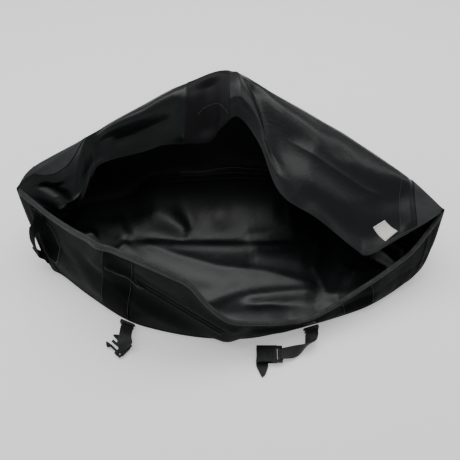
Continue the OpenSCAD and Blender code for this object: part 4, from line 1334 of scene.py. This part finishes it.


# the oval itself, painted shadow under the handle
a, b = grid(np.linspace(-1, 1, 40), np.linspace(-1, 1, 60))
u, v = handleShadePlace(a * np.sqrt(1 - b * b / 2), b * np.sqrt(1 - a * a / 2))
oval = closedSheet("handleShadePatch", onWall(front, u, v, 0.6 * mm), onWall(front, u, v, 0.05 * mm),
                   finishOf["bandCloth"])
finishPiece(oval, "root", "outer_fabric")
turn = np.linspace(0, 2 * np.pi, 120, endpoint=False)
u, v = handleShadePlace(np.cos(turn), np.sin(turn))
trim = tubePiece("handleTrim", onWall(front, u, v, 0.7 * mm), np.full(120, handleShade["trim"]), 10,
                 finishOf["bindingTape"], closed=True)
finishPiece(trim, "root", "binding_tape")
for name, end, node in (("handlePatchTop", "head", "handle_anchor_top"),
                        ("handlePatchBottom", "foot", "handle_anchor_bottom")):
    at, half = handle[end], handle[end + "Half"]
    a, b = grid(np.linspace(-1, 1, 34), np.linspace(-1, 1, 60))
    u, v = at[0] + a * (half + 0.0015), at[1] + b * 0.06
    dome = 1 - 0.5 * np.maximum(np.abs(a), np.abs(b)) ** 12
    piece = closedSheet(name, onWall(front, u, v, 2.8 * mm * dome + 0.1 * mm * np.sin(b * 36)),
                        onWall(front, u, v, 0.1 * mm), finishOf["bandCloth"],
                        wear=np.maximum(np.abs(a), np.abs(b)) ** 10)
    finishPiece(piece, "root", "webbing", node)
    q = np.linspace(-0.8, 0.8, 30)
    for a, b in ((q, 0 * q - 0.8), (q, 0 * q + 0.8), (0 * q - 0.8, q), (0 * q + 0.8, q), (q, q), (q, -q)):
        sew("root", "heavy", [onWall(front, at[0] + a * half, at[1] + b * 0.06, 3.0 * mm)])

# ---- straps and the two halves of their buckle, in millimetres
strap = {"thick": 1.6 * mm, "loop": 3.3, "barHalf": 11.5}
male = {"at": np.array([-207.0, -214, 6]), "bar": np.array([0.642788, 0.766044, 0]),
        "tips": np.array([-0.766044, 0.642788, 0])}
female = {"at": np.array([101.0, -222, 9]), "bar": np.array([0, 1.0, 0]), "tips": np.array([-1.0, 0, 0])}


def loopRound(half, side, first, last):
    turn = np.radians(np.linspace(first, last, 9))[:, None]
    ring = strap["loop"] * (np.cos(turn) * half["tips"] + np.sin(turn) * np.array([0, 0, 1]))
    return half["at"] + side * strap["barHalf"] * half["bar"] + ring


leftA = [(-219.5, -147, 6), (-219.5, -154, 10), (-219.5, -168, 20), (-219.5, -186, 25), (-221.5, -206, 23)]
leftB = [(-194.5, -158, 6), (-194.5, -165, 10), (-194.5, -178, 20), (-194.5, -191, 24), (-192.5, -203, 20)]
leftA = np.concatenate([leftA, loopRound(male, -1, 90, 330)]) * mm
leftB = np.concatenate([leftB, loopRound(male, 1, 90, 330)]) * mm
strapLeft = webStrip("strapLeft", leftA, leftB, strap["thick"], finishOf["webbingCloth"])
finishPiece(strapLeft, "root", "webbing", "strap_left")
rightA = [
    (152.5, -166.5, 6), (153.6, -173.6, 9), (150, -183, 15), (149, -198, 8), (144, -213, 4), (127, -228, 6)]
rightB = [
    (176, -159, 6), (177.6, -165.8, 9), (176, -182, 15), (169, -198, 21), (151, -208, 28), (128, -208, 20)]
rightA = np.concatenate([rightA, loopRound(female, -1, 90, -150)]) * mm
rightB = np.concatenate([rightB, loopRound(female, 1, 90, -150)]) * mm
strapRight = webStrip("strapRight", rightA, rightB, strap["thick"], finishOf["webbingCloth"])
finishPiece(strapRight, "root", "webbing", "strap_right")
tailA = np.array([(76, -222, 1), (75, -240, 1), (73, -251, 3), (68, -263, 2)]) * mm
tailB = np.array([(52, -222, 1), (51, -241, 1), (56, -256, 3), (62, -268, 2)]) * mm
strapTail = webStrip("strapTail", tailA, tailB, strap["thick"], finishOf["webbingCloth"])
finishPiece(strapTail, "female", "webbing", "strap_tail")
for name, x, y, degrees, node in (("strapPatchLeft", -207, -152, -24, "strap_anchor_left"),
                                  ("strapPatchRight", 163, -163, 18, "strap_anchor_right")):
    turned = np.array(Matrix.Rotation(math.radians(degrees), 3, "Z"))
    path = np.array([
        (-5.2, 0.6), (-5.3, 6), (-5.0, 10.5), (-3.6, 13.2), (-1.2, 13.2), (0.6, 10.5), (1.0, 6), (1.0, 0.6)])
    sides = [np.stack([0 * path[:, 0] + k * 15.5, path[:, 0], path[:, 1]], -1) @ turned.T + (x, y, 1.0)
             for k in (-1, 1)]
    piece = webStrip(name, sides[0] * mm, sides[1] * mm, strap["thick"], finishOf["webbingCloth"])
    finishPiece(piece, "root", "webbing", node)
    q = np.linspace(-13, 13, 20)
    for z in (3.5, 9.0):
        line = np.stack([q, 0 * q - 6.15, 0 * q + z], -1) @ turned.T + (x, y, 1.0)
        sew("root", "heavy", [line * mm])
for name, node, body in (("buckleMale", "male_buckle", "male"),
                         ("prongLeft", "male_prong_left", "prong_left"),
                         ("prongRight", "male_prong_right", "prong_right"),
                         ("buckleFemale", "female_buckle", "female")):
    finishPiece(softened(name, node, 0.6 * mm, finishOf["mouldedPlastic"]), body, "moulded_plastic", node)
# grip ribs across the back of the female half
femaleHalf = bpy.data.objects["buckleFemale"]
low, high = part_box("female_buckle")
ribs = {"shares": (0.42, 0.52, 0.62), "reach": 0.34, "radius": 0.75 * mm}
for k, share in enumerate(ribs["shares"]):
    line = []
    for y in np.linspace(0.5 - ribs["reach"], 0.5 + ribs["reach"], 24):
        above = Vector((low.x + share * (high.x - low.x), low.y + y * (high.y - low.y), high.z + 10 * mm))
        hit, place, normal, face = femaleHalf.ray_cast(above, Vector((0, 0, -1)))
        if hit:
            line.append(place)
    rib = tubePiece("buckleRib" + str(k + 1), np.array(line), np.full(len(line), ribs["radius"]), 10,
                    finishOf["mouldedPlastic"])
    finishPiece(rib, "female", "moulded_plastic")
print("handle, straps and buckles made")

# ---- all the sewing, one mesh for each body
for (body, kind), lines in seams.items():
    piece = repeatAlong("stitches" + kind.capitalize() + body.capitalize(), lines, sewing[kind],
                        finishOf["sewingThread"])
    finishPiece(piece, body, "binding_tape")
print("sewing done")
